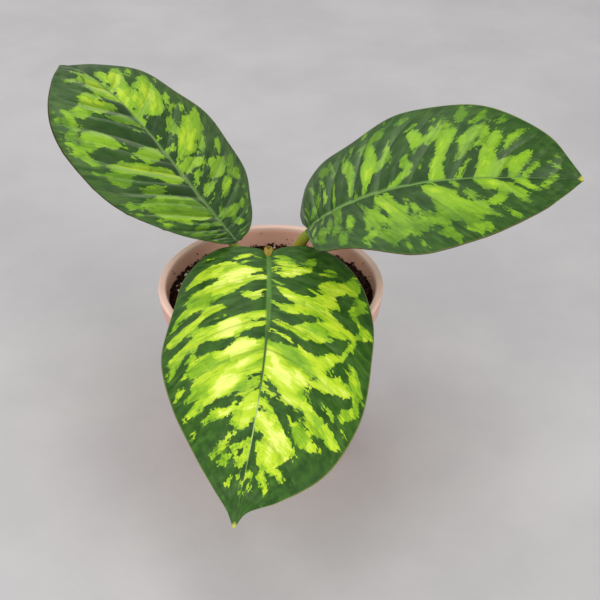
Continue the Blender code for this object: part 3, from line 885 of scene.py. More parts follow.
markings["leaf_front", right] = {
    "light": (
        ((16.5, 20, 1), (17, 29, 2.4), (18.3, 37, 2.2), (19, 42, 0.8)),
        ((29, 7, 0.8), (28.6, 16, 2.2), (28.4, 24, 3.6), (27.5, 34, 5), (26.2, 44, 5.4), (25.2, 55, 4),
         (25.5, 65, 3.5), (26.5, 75, 2.8), (28, 82, 1.5), (29.3, 88, 0.6)),
        ((33.5, 0, 1.8), (33.5, 12, 1.8), (33.7, 20, 3), (34.5, 30, 4.6), (35.5, 40, 4.8), (36, 50, 4.8),
         (36.5, 60, 5), (37, 70, 4.6), (35.5, 76, 3), (34, 81, 1.2)),
        ((42, 3, 2), (43, 10, 1.8), (42.5, 17, 1.8), (41, 24, 1.5)),
        ((40.5, 50, 2), (39.8, 60, 2), (39.5, 70, 2), (40, 80, 2.2), (41, 88, 2), (42.3, 94, 0.8)),
        ((44.5, 32, 0.8), (44.6, 42, 2), (46, 53, 4.6), (47, 62, 5), (47.5, 70, 3), (47.5, 80, 2.3),
         (47.5, 88, 1.8), (47, 93, 0.7)),
        ((52.6, 0, 2.8), (53, 10, 3), (53.5, 20, 3.6), (53.6, 30, 3.8), (53.5, 40, 3.4), (53, 50, 2.8),
         (53, 58, 3.2), (54, 66, 3), (54, 75, 2.2), (54.5, 85, 2), (56, 93, 2.5)),
        ((65, 0, 5), (65, 10, 5), (65.3, 20, 7.6), (66, 30, 7), (66, 40, 7.2), (66, 50, 7.2),
         (65.5, 60, 7.2), (64.5, 68, 6.4), (63, 74, 4), (62, 79, 1.5)),
        ((72, 2, 1.2), (72.8, 10, 2), (73.3, 18, 1.6), (73, 27, 0.8)),
        ((71, 45, 2), (71.5, 60, 2), (71.5, 70, 1.8), (71.6, 80, 1.4), (72, 91, 0.8)),
        ((57.4, 65, 1), (57.6, 73, 1), (57.2, 81, 0.5)),
        ((60.8, 70, 1.4), (60.8, 78, 1), (60.6, 84, 0.5)),
        ((68, 62, 1.8), (68.2, 74, 1.2), (68, 84, 0.6)),
        ((63.8, 81, 0.7), (64, 87, 1.4), (65, 94, 0.6)),
        ((55, 80, 2), (55.5, 88, 3), (56.5, 95, 2.5)),
        ((77.5, 0, 3.2), (78, 10, 4), (79, 20, 3.4), (79.5, 28, 2.5), (79, 37, 1.2)),
        ((76.5, 28, 1), (76.5, 40, 1.5), (76, 50, 1.5), (75.8, 60, 1.3), (76, 72, 0.5)),
        ((84.5, 0, 1), (85.5, 10, 1.2), (85.5, 20, 1), (86, 30, 1.2), (85, 40, 0.7)),
        ((87, 0, 1.3), (88, 12, 1.8), (88.5, 20, 1.4), (88, 31, 0.6)),
        ((92.8, 0, 0.5), (92.5, 12, 0.4)),
    ),
    "dark": (
        ((31.3, 0, 0.9), (31.5, 12, 0.6), (31.8, 17, 0.3)),
        ((30.5, 46, 0.5), (30.5, 55, 1.3), (30.5, 63, 1.5), (31, 72, 1.2), (32, 84, 1.4), (32.5, 90, 1)),
        ((37, 0, 1.8), (37.6, 10, 2), (38.5, 17, 1.7), (39, 23, 0.7)),
        ((47.2, 0, 2.5), (47.2, 12, 2.4), (46, 20, 3.4), (44.5, 26, 5), (42, 32, 3), (41, 39, 1.8),
         (40.8, 46, 0.8)),
        ((47.2, 22, 2.6), (47.5, 32, 2.5), (48, 42, 2.3), (48, 51, 2), (47.7, 59, 0.7)),
        ((59, 0, 1.4), (58.3, 10, 1.4), (57.7, 18, 1), (57.4, 24, 0.4)),
        ((53.5, 0, 0.8), (53.4, 10, 0.4)),
        ((58.2, 28, 0.8), (58.3, 37, 1.9), (57.6, 45, 1.5), (56.6, 52, 2.3), (56.4, 58, 1.8),
         (56.4, 64, 0.6)),
        ((43, 59, 1), (43, 67, 2), (43, 76, 1.9), (42.4, 81, 1)),
        ((50, 67, 1.1), (50.5, 76, 1.4), (51, 84, 1.1), (51, 91, 0.5)),
        ((55.5, 66, 0.9), (56.2, 74, 0.8), (57.5, 80, 0.8), (59, 88, 1.2)),
        ((58.3, 70, 0.5), (59.2, 79, 1.1), (60, 86, 1)),
        ((63.3, 72, 1.1), (64, 78, 2.2), (62.5, 84, 1.3)),
        ((70.7, 0, 0.6), (70.6, 12, 0.3)),
        ((74.4, 24, 0.4), (74.6, 33, 1), (74.6, 42, 1.4), (73.8, 50, 1.2), (73.5, 60, 0.9),
         (73.8, 70, 1.4)),
        ((83.2, 0, 0.6), (83.2, 12, 1), (83.6, 22, 1.5), (82.6, 30, 1.2), (82, 35, 0.6)),
        ((86.5, 18, 0.4), (86.8, 28, 0.6)),
    ),
    "fleck": (
        ((82, 32, 0.6), (82.3, 40, 0.8), (82.6, 50, 0.4)),
        ((83, 44, 0.5), (83.5, 55, 1.2), (83.4, 67, 1), (84, 75, 0.4)),
        ((86, 41, 0.4), (86.6, 52, 1.2), (86.5, 61, 0.9), (86.2, 68, 0.4)),
        ((90.6, 43, 0.3), (91, 55, 0.7), (91.2, 67, 0.4)),
        ((91, 18, 0.3), (91.3, 28, 0.3)),
        ((94, 5, 0.3), (94.2, 15, 0.3)),
        ((76.5, 83, 0.4), (77, 92, 0.8)),
        ((48.4, 36, 0.3), (48.6, 43, 0.4)),
        ((18.3, 74, 0.5), (18.5, 84, 0.4)),
        ((21.4, 20, 0.5), (22, 25, 1), (22.6, 30, 0.5)),
        ((18, 10, 0.3), (17.6, 18, 0.6)),
    ),
    "pale": (
        ((29.5, 8, 1.5), (30, 18, 3.2), (31, 30, 3.8), (31.6, 42, 3), (33, 52, 1.6)),
        ((42.5, 2, 1.8), (42, 12, 0.8)),
        ((54, 20, 1.5), (53.5, 30, 3.2), (52.8, 42, 2.4)),
        ((60.5, 8, 1), (60.8, 24, 1.6), (61.2, 37, 1.2)),
        ((66.5, 16, 1.6), (68.5, 28, 3), (69, 38, 3), (71, 52, 1.4)),
        ((77.5, 6, 0.8), (77, 20, 0.5)),
        ((76.5, 38, 1), (76.4, 52, 0.8)),
        ((33.5, 2, 1.4), (34, 10, 0.6)),
    ),
    "deep": (
        ((63.5, 2, 1), (64, 12, 1), (64.5, 26, 0.6)),
        ((67.5, 6, 1), (68, 20, 0.8), (67.5, 30, 0.5)),
        ((38, 46, 2), (39, 54, 2.6), (38.5, 62, 2.2), (37, 70, 2.4), (35.4, 78, 2)),
        ((72.5, 8, 1), (72.6, 26, 1)),
        ((61.5, 50, 1.5), (62, 62, 2), (61, 74, 1.5)),
        ((68.5, 58, 2), (67.5, 70, 1.8), (68, 84, 1)),
        ((57.5, 78, 2), (57, 92, 3)),
        ((76, 54, 1.2), (75.8, 68, 1)),
        ((84, 52, 2), (84, 72, 1.6)),
        ((86.5, 40, 1), (86.5, 68, 1)),
        ((41, 78, 2), (42, 94, 2)),
        ((50, 2, 1), (50.5, 16, 0.8)),
    ),
}

markings["leaf_left", left] = {
    "light": (
        ((28.8, 0, 1.4), (27.6, 10, 1.8), (26.5, 18, 1)),
        ((33.3, 8, 0.8), (32.5, 20, 2), (32, 30, 2.3), (32.3, 40, 2.4), (32, 50, 3), (31.8, 60, 2.8),
         (32, 72, 1.6)),
        ((27, 24, 1.2), (26, 33, 2), (25, 42, 1), (24, 52, 0.8)),
        ((30, 44, 1.8), (29.8, 52, 3.6), (31, 62, 1.6)),
        ((35.5, 3, 1.2), (36.5, 8, 3), (38.4, 14, 4.6), (38.5, 25, 4.6), (38.4, 35, 4.7), (38, 45, 4.6),
         (37, 55, 3.8), (36.5, 66, 2.6), (36, 76, 1.2)),
        ((45.5, 36, 1), (45, 45, 1.6), (44, 54, 0.7)),
        ((51.4, 4, 0.8), (52, 10, 2.4), (51.6, 20, 3.1), (52, 30, 2.7), (52.4, 40, 2.3), (52.2, 50, 2.3),
         (51.6, 60, 2.1), (51, 70, 0.9)),
        ((48, 59, 1), (47, 68, 2.6), (46.6, 78, 1.6)),
        ((52.3, 76, 1.2), (53.4, 83, 3), (55, 90, 2)),
        ((61.6, 7, 1.4), (60.6, 15, 2.4), (59.4, 22, 2.8), (58, 30, 2.4), (57.2, 38, 0.9)),
        ((60.6, 48, 1), (60.8, 56, 2.8), (61.2, 63, 3), (60, 70, 2.8), (58.4, 77, 2.8), (57, 82, 1.4)),
        ((64, 77, 1.4), (64.6, 83, 3.4), (65.4, 89, 2.2)),
        ((60, 84, 2), (58.5, 90, 1.4)),
        ((70.8, 6, 1), (71.2, 15, 1.5), (71.2, 25, 1.5), (70.2, 34, 1.1), (69.6, 41, 0.5)),
        ((75.4, 26, 0.8), (75, 36, 1.8), (74.6, 44, 3), (74.2, 52, 4), (74, 60, 3.4), (73.4, 68, 1.5)),
        ((70.2, 60, 0.9), (69.2, 69, 2.4), (68, 78, 1.6)),
        ((83, 0, 4.6), (84, 10, 5.6), (84, 20, 5.8), (83, 30, 5), (82, 40, 3.6), (80.5, 50, 1)),
        ((87, 28, 1.8), (87.6, 40, 1.4), (88, 52, 0.8), (88, 62, 0.4)),
        ((83.2, 58, 0.6), (82.6, 70, 1.2), (81.2, 81, 0.8)),
        ((85, 48, 1.4), (84, 58, 0.7)),
        ((91.8, 2, 0.4), (92, 20, 0.6), (92, 36, 0.3)),
        ((78.6, 38, 1), (78, 46, 1.6), (77.6, 54, 1)),
        ((20.6, 56, 1), (19.4, 68, 1.4), (18.4, 80, 0.8)),
        ((27, 78, 1), (26, 88, 0.8)),
        ((37, 82, 1.4), (36, 90, 1)),
    ),
    "dark": (
        ((43.4, 12, 0.5), (43.6, 22, 0.9), (44, 30, 0.7)),
        ((77.4, 22, 0.8), (77, 33, 1.2), (76.6, 41, 0.7)),
        ((79, 46, 0.8), (79.4, 56, 1.4), (79.4, 63, 0.9)),
        ((73.4, 66, 1.4), (73.6, 74, 1.4)),
        ((35, 70, 1.2), (35, 80, 2.4)),
    ),
    "fleck": (
        ((47.6, 82, 0.6), (48.4, 88, 0.6)),
        ((68, 12, 0.3), (67.6, 24, 0.5)),
        ((90, 30, 0.4), (90.4, 46, 0.4)),
        ((16, 12, 0.4), (13.6, 30, 0.6), (12, 46, 0.3)),
        ((20, 10, 0.5), (17.4, 28, 0.8), (15.6, 46, 0.6), (14.6, 60, 0.3)),
        ((23.6, 14, 0.6), (20.6, 32, 1), (18.6, 50, 0.9), (17.6, 66, 0.5)),
        ((23.4, 38, 0.5), (21.4, 52, 0.8), (20, 66, 0.4)),
        ((12, 70, 0.5), (10.6, 84, 0.5)),
        ((22, 76, 0.6), (21, 88, 0.5)),
        ((30, 74, 0.8), (29, 86, 0.6)),
        ((33.6, 80, 0.5), (33, 90, 0.5)),
    ),
    "pale": (
        ((31.5, 6, 1.4), (31.5, 44, 1.4)),
        ((42, 26, 1.2), (42, 52, 1)),
        ((53, 6, 1.6), (53.4, 50, 1.2), (53, 72, 0.6)),
        ((61.5, 6, 1.5), (60.5, 22, 1)),
        ((75, 38, 2), (75.5, 64, 2)),
        ((80, 0, 2), (82.5, 20, 3), (84, 50, 2)),
    ),
    "deep": (
        ((37.5, 3, 3.5), (38, 40, 3.6), (38, 76, 3)),
        ((44.5, 34, 1.5), (44, 58, 1)),
        ((46.5, 56, 3), (47, 82, 2)),
        ((20, 3, 9), (18, 50, 10), (16, 98, 9)),
        ((55, 78, 3), (60, 86, 5), (66, 94, 4)),
        ((71, 4, 1), (70, 44, 1)),
    ),
}

markings["leaf_left", right] = {
    "light": (
        ((31, 7, 1), (32.6, 10, 2.4), (34, 14, 1.4)),
        ((31, 10, 1.2), (29.4, 16, 2.2), (28.5, 22, 3), (28, 30, 2.5), (27.4, 38, 1.8), (26.6, 45, 1)),
        ((26.6, 44, 1), (26, 52, 2.2), (25.4, 59, 2), (24.4, 66, 0.9)),
        ((24, 18, 1.8), (22, 25, 3), (20.6, 31, 2.4), (18.8, 38, 1.4), (17.4, 45, 0.8)),
        ((36.4, 25, 0.8), (37, 34, 2), (37.6, 42, 2.1), (38, 48, 1.8), (37.4, 56, 0.8)),
        ((38.8, 55, 0.9), (37.4, 62, 2), (36, 69, 2.6), (34.8, 76, 1.4)),
        ((39, 66, 1.2), (39.4, 76, 1.4), (39.8, 84, 0.7)),
        ((43, 7, 1), (43.6, 14, 1.9), (43, 21, 1.3), (42.8, 27, 0.6)),
        ((45, 26, 0.7), (44.4, 35, 1.6), (43.6, 42, 2.5), (43, 50, 2.6), (43.4, 57, 2), (42, 66, 0.8)),
        ((47.6, 37, 1), (47, 44, 1.3), (46.4, 50, 0.6)),
        ((49, 8, 0.5), (49.6, 14, 1.2), (49, 22, 0.7)),
        ((46.4, 66, 1.2), (46.8, 74, 1.4), (46, 80, 0.8)),
        ((55, 3, 1.4), (54, 10, 2.1), (54, 18, 2.2), (52.6, 24, 2), (51, 31, 1.5), (49.8, 37, 0.7)),
        ((57.6, 8, 0.7), (57.6, 20, 1.6), (57.6, 28, 2.6), (57.6, 35, 3.8), (58, 42, 4.6), (57.6, 50, 4.8),
         (57, 58, 4.7), (56.5, 66, 4.1), (56, 73, 2.8), (56.5, 82, 1.5), (56.3, 92, 0.8)),
        ((63.4, 28, 1.5), (63.6, 35, 2.2), (63.8, 42, 1.8), (64, 48, 0.8)),
        ((52.6, 42, 1), (53.4, 51, 2.4), (54, 60, 2)),
        ((61.6, 0, 0.7), (61.6, 8, 0.7), (60.6, 14, 0.7)),
        ((66.6, 0, 0.5), (66, 5, 0.4)),
        ((76, 0, 5), (76.6, 10, 5.4), (77, 20, 6), (76, 30, 6.6), (74.6, 40, 7), (74, 50, 6.2),
         (73.2, 60, 5), (73.6, 68, 4.5), (74.5, 76, 3), (74.5, 84, 1)),
        ((83, 0, 2.8), (83, 10, 3), (83.4, 20, 3), (83, 30, 3), (83, 40, 2.6), (82.7, 50, 2.4),
         (83, 60, 2), (83, 70, 1.6), (83.4, 82, 0.8)),
        ((87, 12, 1.8), (87, 26, 2), (87, 36, 1.4), (86.6, 46, 0.7)),
        ((65, 57, 0.9), (64.6, 65, 1.2), (64, 72, 0.5)),
        ((67, 60, 0.8), (67.6, 70, 1.2), (67, 78, 0.6)),
        ((80, 70, 0.6), (80, 80, 1), (79.6, 88, 0.5)),
        ((61, 72, 1), (62, 80, 1)),
        ((10.6, 24, 0.6), (10, 34, 0.9), (9.6, 44, 0.5)),
        ((26, 70, 0.8), (24.6, 80, 1)),
    ),
    "dark": (
        ((72, 7, 0.6), (72, 18, 0.5)),
        ((79, 40, 0.4), (79, 54, 1), (78.5, 65, 1.4), (79, 76, 2)),
        ((77, 42, 0.8), (76.6, 51, 0.7)),
        ((81.6, 0, 0.7), (82, 12, 0.3)),
        ((62, 44, 1.2), (63, 52, 2), (63, 60, 2), (63, 70, 1.4)),
        ((54.4, 43, 0.9), (54, 51, 1)),
        ((53, 63, 0.8), (52.5, 76, 1)),
        ((75.6, 4, 0.4), (75.4, 14, 0.3)),
        ((84.4, 8, 0.6), (84.4, 20, 0.4)),
    ),
    "fleck": (
        ((39.4, 6, 0.5), (39.8, 12, 0.5)),
        ((48, 5, 0.6), (47.8, 8, 0.5)),
        ((33.4, 50, 0.4), (33, 60, 0.6)),
        ((70.8, 84, 0.3), (71.4, 92, 0.4)),
        ((15, 20, 0.4), (14, 34, 0.6), (13.4, 48, 0.3)),
        ((30.6, 62, 0.5), (29.6, 76, 0.6)),
        ((20.6, 52, 0.5), (19.6, 68, 0.6)),
    ),
    "pale": (
        ((58, 26, 2.5), (58, 64, 3)),
        ((73, 28, 3), (74, 64, 3)),
        ((79, 3, 3), (79, 32, 3)),
        ((83.5, 0, 2.5), (84, 64, 2)),
    ),
    "deep": (
        ((30, 3, 8), (28, 40, 8), (26, 90, 6)),
        ((40, 58, 3), (40, 94, 3)),
        ((12, 10, 6), (12, 60, 6)),
    ),
}

markings["leaf_right", left] = {
    "light": (
        ((20, 9, 2.4), (22, 14, 2.4), (21.6, 22, 1.2)),
        ((25, 15, 1), (25.4, 24, 2), (25, 32, 1.2)),
        ((29.6, 12, 0.7), (30.4, 20, 1), (29.6, 30, 0.6)),
        ((35.4, 4, 0.4), (35, 14, 0.7), (34.6, 26, 0.6), (34, 36, 0.4)),
        ((43.4, 4, 0.5), (43, 12, 1.1), (42.5, 20, 1.2), (42, 28, 1.5), (40.6, 36, 2), (39, 44, 1.9),
         (38, 50, 1.5), (37, 57, 0.8)),
        ((48.4, 4, 0.5), (48.8, 10, 1.2), (49, 18, 2), (48.6, 25, 3), (48, 32, 2.9), (47.5, 40, 2),
         (46.6, 48, 1.6), (45.6, 56, 1.2), (45, 62, 0.6)),
        ((50.6, 20, 1.4), (52.4, 30, 1.2), (52.8, 37, 1), (52.4, 44, 0.8), (51.8, 50, 0.4)),
        ((54.6, 27, 0.6), (53.8, 36, 0.6)),
        ((57.4, 0, 1.2), (59, 6, 1.6), (60.6, 10, 1.3), (61, 16, 1.2), (60, 20, 1.9), (59, 25, 1.5),
         (59, 31, 0.5)),
        ((60.6, 37, 0.6), (60.2, 46, 2), (59, 53, 2.4), (57.6, 59, 1.4), (57.2, 64, 0.6)),
        ((62.4, 42, 1), (63.4, 50, 2), (63.4, 57, 2), (62.4, 64, 1.2)),
        ((55.6, 64, 0.9), (56.6, 70, 0.8)),
        ((69.6, 0, 2), (69, 10, 1.8), (68.2, 18, 1.5), (68, 26, 1.3), (67.8, 34, 1.5), (67.4, 42, 1.9),
         (67.2, 50, 1.5), (66.6, 58, 1.9), (66, 64, 1)),
        ((65, 58, 1.4), (64.2, 67, 2), (63.4, 73, 1)),
        ((72.4, 24, 0.5), (73, 32, 1), (72.6, 40, 1.5), (72, 47, 2), (72, 54, 1.5), (72.6, 62, 2),
         (73, 70, 1.5), (73, 78, 0.6)),
        ((75.4, 42, 1), (75.8, 52, 1.4), (75, 60, 0.8)),
        ((74.6, 0, 0.6), (74.6, 12, 0.6), (75, 20, 0.4)),
        ((78, 28, 1), (78, 40, 1.6), (77.6, 50, 1.9), (77.2, 60, 1.6), (77, 70, 0.7)),
        ((80.6, 0, 2.5), (80.6, 10, 2.8), (80.4, 18, 3), (79.4, 26, 2.2), (78.6, 34, 1.6)),
        ((86, 0, 1.2), (86, 10, 1.2), (85.4, 20, 1.7), (85.5, 30, 1.9), (86, 40, 1.5), (86, 49, 1),
         (86, 56, 0.4)),
        ((82.8, 18, 1.6), (83.4, 28, 1.6), (84, 38, 1)),
        ((88.6, 0, 1), (88.6, 10, 0.8), (89, 20, 0.6), (89.3, 30, 0.7), (89.5, 42, 0.3)),
        ((93.6, 2, 0.8), (94, 10, 1), (94, 17, 0.5)),
        ((92.8, 41, 0.5), (93.4, 49, 1), (93.4, 58, 0.5)),
        ((81, 47, 0.4), (80.8, 58, 0.8), (80.6, 70, 1), (80.8, 80, 0.8), (81, 87, 0.3)),
        ((29.4, 54, 1), (28.4, 64, 2.2), (27, 76, 1.4)),
        ((42, 57, 1.4), (45, 63, 3.4), (46, 70, 2.4), (45, 78, 1)),
        ((66.4, 74, 1), (66, 82, 1.4), (65, 92, 0.8)),
        ((70.2, 73, 0.8), (70.6, 82, 0.8), (70, 91, 0.7)),
        ((75, 84, 0.9), (75.6, 91, 0.8)),
        ((51, 76, 1), (51.8, 84, 1)),
        ((36, 60, 0.8), (35, 70, 1)),
    ),
    "dark": (
        ((61.4, 53, 0.6), (61.4, 60, 0.6)),
        ((81, 34, 0.4), (80.4, 42, 0.8)),
    ),
    "fleck": (
        ((64, 17, 0.3), (64, 22, 0.3)),
        ((60.4, 74, 0.4), (60, 78, 0.5)),
        ((91.4, 48, 0.3), (91.4, 56, 0.3)),
        ((91.6, 72, 0.3), (91.8, 80, 0.4)),
        ((45, 3, 0.8), (45.6, 6, 0.6)),
        ((13, 20, 0.5), (12, 42, 0.4)),
        ((16, 10, 0.5), (17, 24, 0.8), (15.6, 42, 0.5)),
        ((24, 36, 0.8), (22.4, 52, 0.8), (20.6, 70, 0.5)),
        ((29.6, 36, 0.6), (27.6, 52, 0.8)),
        ((33, 50, 0.5), (31, 66, 0.7), (29.4, 82, 0.5)),
        ((38.6, 62, 0.5), (37.4, 78, 0.6)),
        ((41, 80, 0.6), (40, 92, 0.5)),
        ((46.6, 80, 0.5), (45.6, 92, 0.5)),
    ),
    "pale": (
        ((49, 6, 1), (48.5, 24, 2.2), (47.6, 40, 1.2)),
        ((67.8, 0, 1.5), (67.6, 54, 1.4)),
        ((80, 2, 1.5), (79, 30, 1.2), (77.6, 64, 1)),
        ((84.5, 18, 1.2), (85.5, 48, 1)),
        ((59.4, 44, 1.4), (58.5, 58, 1.2)),
        ((56.5, 62, 0.8), (57, 74, 0.8)),
    ),
    "deep": (
        ((18, 3, 5), (24, 38, 6)),
        ((28, 48, 5), (24, 96, 8)),
        ((36, 54, 3), (34, 96, 4)),
        ((45, 58, 4), (48, 94, 5)),
        ((66, 70, 2.5), (64, 98, 3)),
        ((71, 72, 2), (70, 98, 2)),
        ((75, 82, 2), (76, 98, 2)),
    ),
}

markings["leaf_right", right] = {
    "light": (
        ((36.6, 2, 2), (36, 10, 2), (35.4, 20, 1.9), (34.6, 30, 1.6), (34, 38, 1)),
        ((33.4, 40, 1), (32.4, 48, 1.4), (30.8, 56, 1.4), (29.4, 66, 1)),
        ((31.6, 22, 0.6), (30.4, 34, 1), (29, 46, 1.2), (27.4, 58, 0.8)),
        ((27, 40, 1.4), (26, 50, 2), (25.2, 62, 1.6), (24, 76, 1)),
        ((22.6, 60, 0.8), (22, 72, 0.7)),
        ((33, 60, 1), (31.4, 70, 1.4), (30, 82, 1), (29, 92, 0.7)),
        ((39.6, 27, 0.5), (38.6, 36, 1.2), (37.4, 44, 1.5), (36, 52, 1), (34.6, 60, 0.7)),
        ((53.4, 7, 1.8), (53, 14, 2.5), (52, 22, 3), (51, 30, 3.6), (51, 40, 4.6), (49.4, 50, 5.2),
         (48.4, 58, 5.6), (47, 66, 5.2), (45.6, 72, 4.4), (43.6, 78, 2.4), (42, 84, 0.8)),
        ((45.8, 22, 0.6), (45.6, 34, 1.9), (45, 45, 3), (43.8, 55, 3), (41.4, 62, 2.2), (39.2, 70, 2),
         (37, 78, 1)),
        ((50.6, 62, 3), (52, 70, 3), (51, 76, 1.5)),
        ((57.6, 28, 0.5), (57.2, 38, 1.2), (56.4, 48, 1.2)),
        ((66.6, 8, 1.8), (66.6, 15, 2.5), (67, 22, 3.2), (67, 30, 3.4), (66, 40, 3.6), (65.6, 50, 4.4),
         (65, 58, 5.4), (64, 64, 7), (63, 70, 7), (64, 76, 4.4), (65, 80, 2)),
        ((56, 54, 2), (56, 62, 3), (57, 70, 2)),
        ((64, 78, 1.8), (64.6, 86, 3.4), (65, 93, 2.2)),
        ((71.4, 48, 1.6), (72, 57, 2), (70.4, 65, 2), (70.6, 73, 1.5), (71.6, 81, 0.7)),
        ((57.6, 72, 1), (56.8, 81, 2), (57, 90, 1.5), (56.2, 98, 0.5)),
        ((73, 26, 0.7), (73, 36, 1.3), (72.6, 46, 1.5)),
        ((73, 3, 0.4), (72.6, 12, 0.8), (71.6, 21, 0.5)),
        ((80, 0, 2), (80, 10, 3), (81, 20, 3.6), (80.6, 30, 3.6), (82, 38, 3), (83, 46, 2), (84, 53, 0.9)),
        ((79.4, 40, 1.4), (78.4, 48, 2.2), (77, 54, 2.6), (75.6, 60, 2), (74.6, 67, 0.9)),
        ((83, 48, 1.2), (82.6, 60, 1.6), (82, 70, 1), (81.8, 78, 0.4)),
        ((87, 0, 1.5), (87.4, 10, 1.5), (87, 20, 1.5), (87, 30, 1.3), (87.4, 40, 1), (87.5, 52, 0.7)),
        ((90.4, 30, 0.3), (90, 42, 0.6), (90, 56, 0.3)),
        ((94, 0, 0.8), (93.5, 10, 1), (92.6, 20, 1), (92, 30, 0.8), (91, 44, 0.3)),
        ((75.4, 79, 0.6), (75.3, 88, 1), (75, 94, 0.5)),
        ((68, 0, 1), (67.6, 5, 0.6)),
        ((20, 10, 1), (19, 20, 1.4), (17, 30, 1)),
    ),
    "dark": (
        ((49.6, 29, 0.8), (49.2, 37, 0.8), (48.8, 43, 0.4)),
        ((46, 54, 1), (45, 61, 1.2)),
        ((41.6, 57, 1), (38.6, 65, 1.6), (35.6, 72, 2), (33.4, 81, 1.6)),
        ((55.6, 71, 1.4), (54, 77, 3), (54.4, 82, 1.4)),
        ((62, 71, 1.4), (61, 78, 2), (60, 86, 1)),
        ((57.6, 29, 0.4), (56, 40, 0.6), (55, 47, 0.8), (54, 53, 0.4)),
        ((78.6, 34, 1.2), (77, 41, 2), (75.6, 47, 1.5), (75, 52, 0.8)),
        ((80, 54, 0.9), (80, 63, 1)),
        ((85.4, 0, 0.7), (85.2, 10, 0.5)),
        ((71, 24, 0.4), (70.4, 34, 0.8), (70, 44, 0.6)),
    ),
    "fleck": (
        ((45.6, 14, 0.3), (45.2, 22, 0.3)),
        ((59, 50, 0.4), (58.6, 58, 0.5)),
        ((24, 18, 0.5), (22, 40, 0.8), (20.6, 58, 0.5)),
        ((28.6, 6, 0.5), (27, 26, 0.6)),
        ((46, 82, 0.6), (45, 92, 0.5)),
        ((49.4, 84, 0.5), (48.6, 92, 0.6)),
        ((36, 84, 0.6), (35, 94, 0.5)),
    ),
    "pale": (
        ((53, 6, 1.5), (52, 30, 2), (50, 48, 2.4)),
        ((67, 8, 2), (67, 48, 2.4)),
        ((82, 2, 2.4), (81, 34, 2.4)),
        ((76.5, 52, 1.5), (76, 64, 1.2)),
        ((87.5, 2, 1), (87.5, 44, 1)),
    ),
    "deep": (
        ((34, 3, 4), (28, 60, 7), (25, 96, 6)),
        ((46, 58, 3), (42, 92, 3)),
        ((52, 62, 3), (55, 84, 3)),
        ((62, 56, 4), (64, 82, 5)),
        ((57, 76, 1.5), (56.5, 98, 1.5)),
    ),
}


def through(points, shares):  # smooth curve through (along, across) points, read at shares 0 to 1
    points = np.array(points)
    steps = np.diff(points, axis=0) * (1.0, blade["widthWeight"])
    knots = np.concatenate([[0.0], np.cumsum(np.hypot(*steps.T))])
    knots /= knots[-1]
    slopes = np.gradient(points, knots, axis=0)
    first = np.clip(np.searchsorted(knots, shares, side="right") - 1, 0, len(knots) - 2)
    span = (knots[first + 1] - knots[first])[:, None]
    u = (shares - knots[first])[:, None] / span
    start = (2 * u**3 - 3 * u**2 + 1) * points[first] + (u**3 - 2 * u**2 + u) * span * slopes[first]
    end = (3 * u**2 - 2 * u**3) * points[first + 1] + (u**3 - u**2) * span * slopes[first + 1]
    return start + end


def readAlong(values, stations, where):  # vectors read between their stations
    return np.stack([np.interp(where, stations, values[:, axis]) for axis in range(3)], -1)


def edgeOf(leaf, side, shares):  # the flat outline of one half, from base to tip
    along = (0.0, *leaf["lobe"][side], *blade["edgeStations"], 1.0)
    across = (0.0, blade["sinusWidth"], *leaf["widths"][side], 0.0)
    outline = through(list(zip(along, across)), shares)
    return outline[:, 0], np.maximum(outline[:, 1], 0) * leaf["halfWidth"][side]


def spineOf(leaf, along):  # points of the midrib, with its forward, left and up directions
    steps = np.linspace(0, 1, blade["spineSteps"] + 1)
    low, high, arch = leaf["pitch"]
    pitch = np.radians(low * (1 - steps) + high * steps + 4 * arch * steps * (1 - steps))
    heading = np.radians(leaf["heading"][0] + leaf["heading"][1] * steps)
    roll = np.radians(leaf["roll"][0] + leaf["roll"][1] * steps)[:, None]
    forward = np.stack([np.cos(pitch) * np.cos(heading), np.cos(pitch) * np.sin(heading), np.sin(pitch)], -1)
    stride = leaf["length"] / blade["spineSteps"]
    walked = np.cumsum(stride * (forward[1:] + forward[:-1]) / 2, axis=0)
    points = np.array(leaf["base"]) + np.concatenate([[(0, 0, 0)], walked])
    level = np.stack([-np.sin(heading), np.cos(heading), 0 * heading], -1)
    sideways = level * np.cos(roll) + np.cross(forward, level) * np.sin(roll)
    inside = np.clip(along, 0, 1)
    behind = np.minimum(along, 0)[:, None] * leaf["length"]
    curves = (points, forward, sideways, np.cross(forward, sideways))
    points, ahead, sideways, up = (readAlong(values, steps, inside) for values in curves)
    return points + behind * ahead, ahead, sideways, up


def onBlade(leaf, side, along, across):  # the curled upper surface of one half
    fold = math.radians(leaf["fold"][side])
    curl = math.radians(leaf["curl"][side])
    width = leaf["halfWidth"][side]
    turn = fold + curl * across / width
    out = width / curl * (np.sin(turn) - math.sin(fold))
    rise = width / curl * (math.cos(fold) - np.cos(turn))
    rise -= leaf["lobeDrop"] * leaf["length"] * np.maximum(-along, 0)
    points, _, sideways, up = spineOf(leaf, along)
    return points + sideways * (side * out)[:, None] + up * rise[:, None]


def veinTurns(rows):  # grows by pi from each side vein to the next
    return math.pi * blade["sideVeins"] * (rows - blade["veinOffset"]) / blade["veinSpan"]


def puffOf(rows, outward):  # how far the blade swells between its side veins, 0 to 1
    swayOut, swayAlong = blade["swayTurns"]
    turns = veinTurns(rows + blade["veinSway"] * np.sin(swayOut * outward + swayAlong * rows))
    coarse, fine = (np.abs(np.sin(angle)) ** blade["puffRound"] for angle in (turns / 2, turns))
    puff = blade["veinShares"][0] * coarse + blade["veinShares"][1] * fine
    return puff * np.sin(math.pi * np.clip(0.06 + 0.94 * outward, 0, 1)) ** 0.5


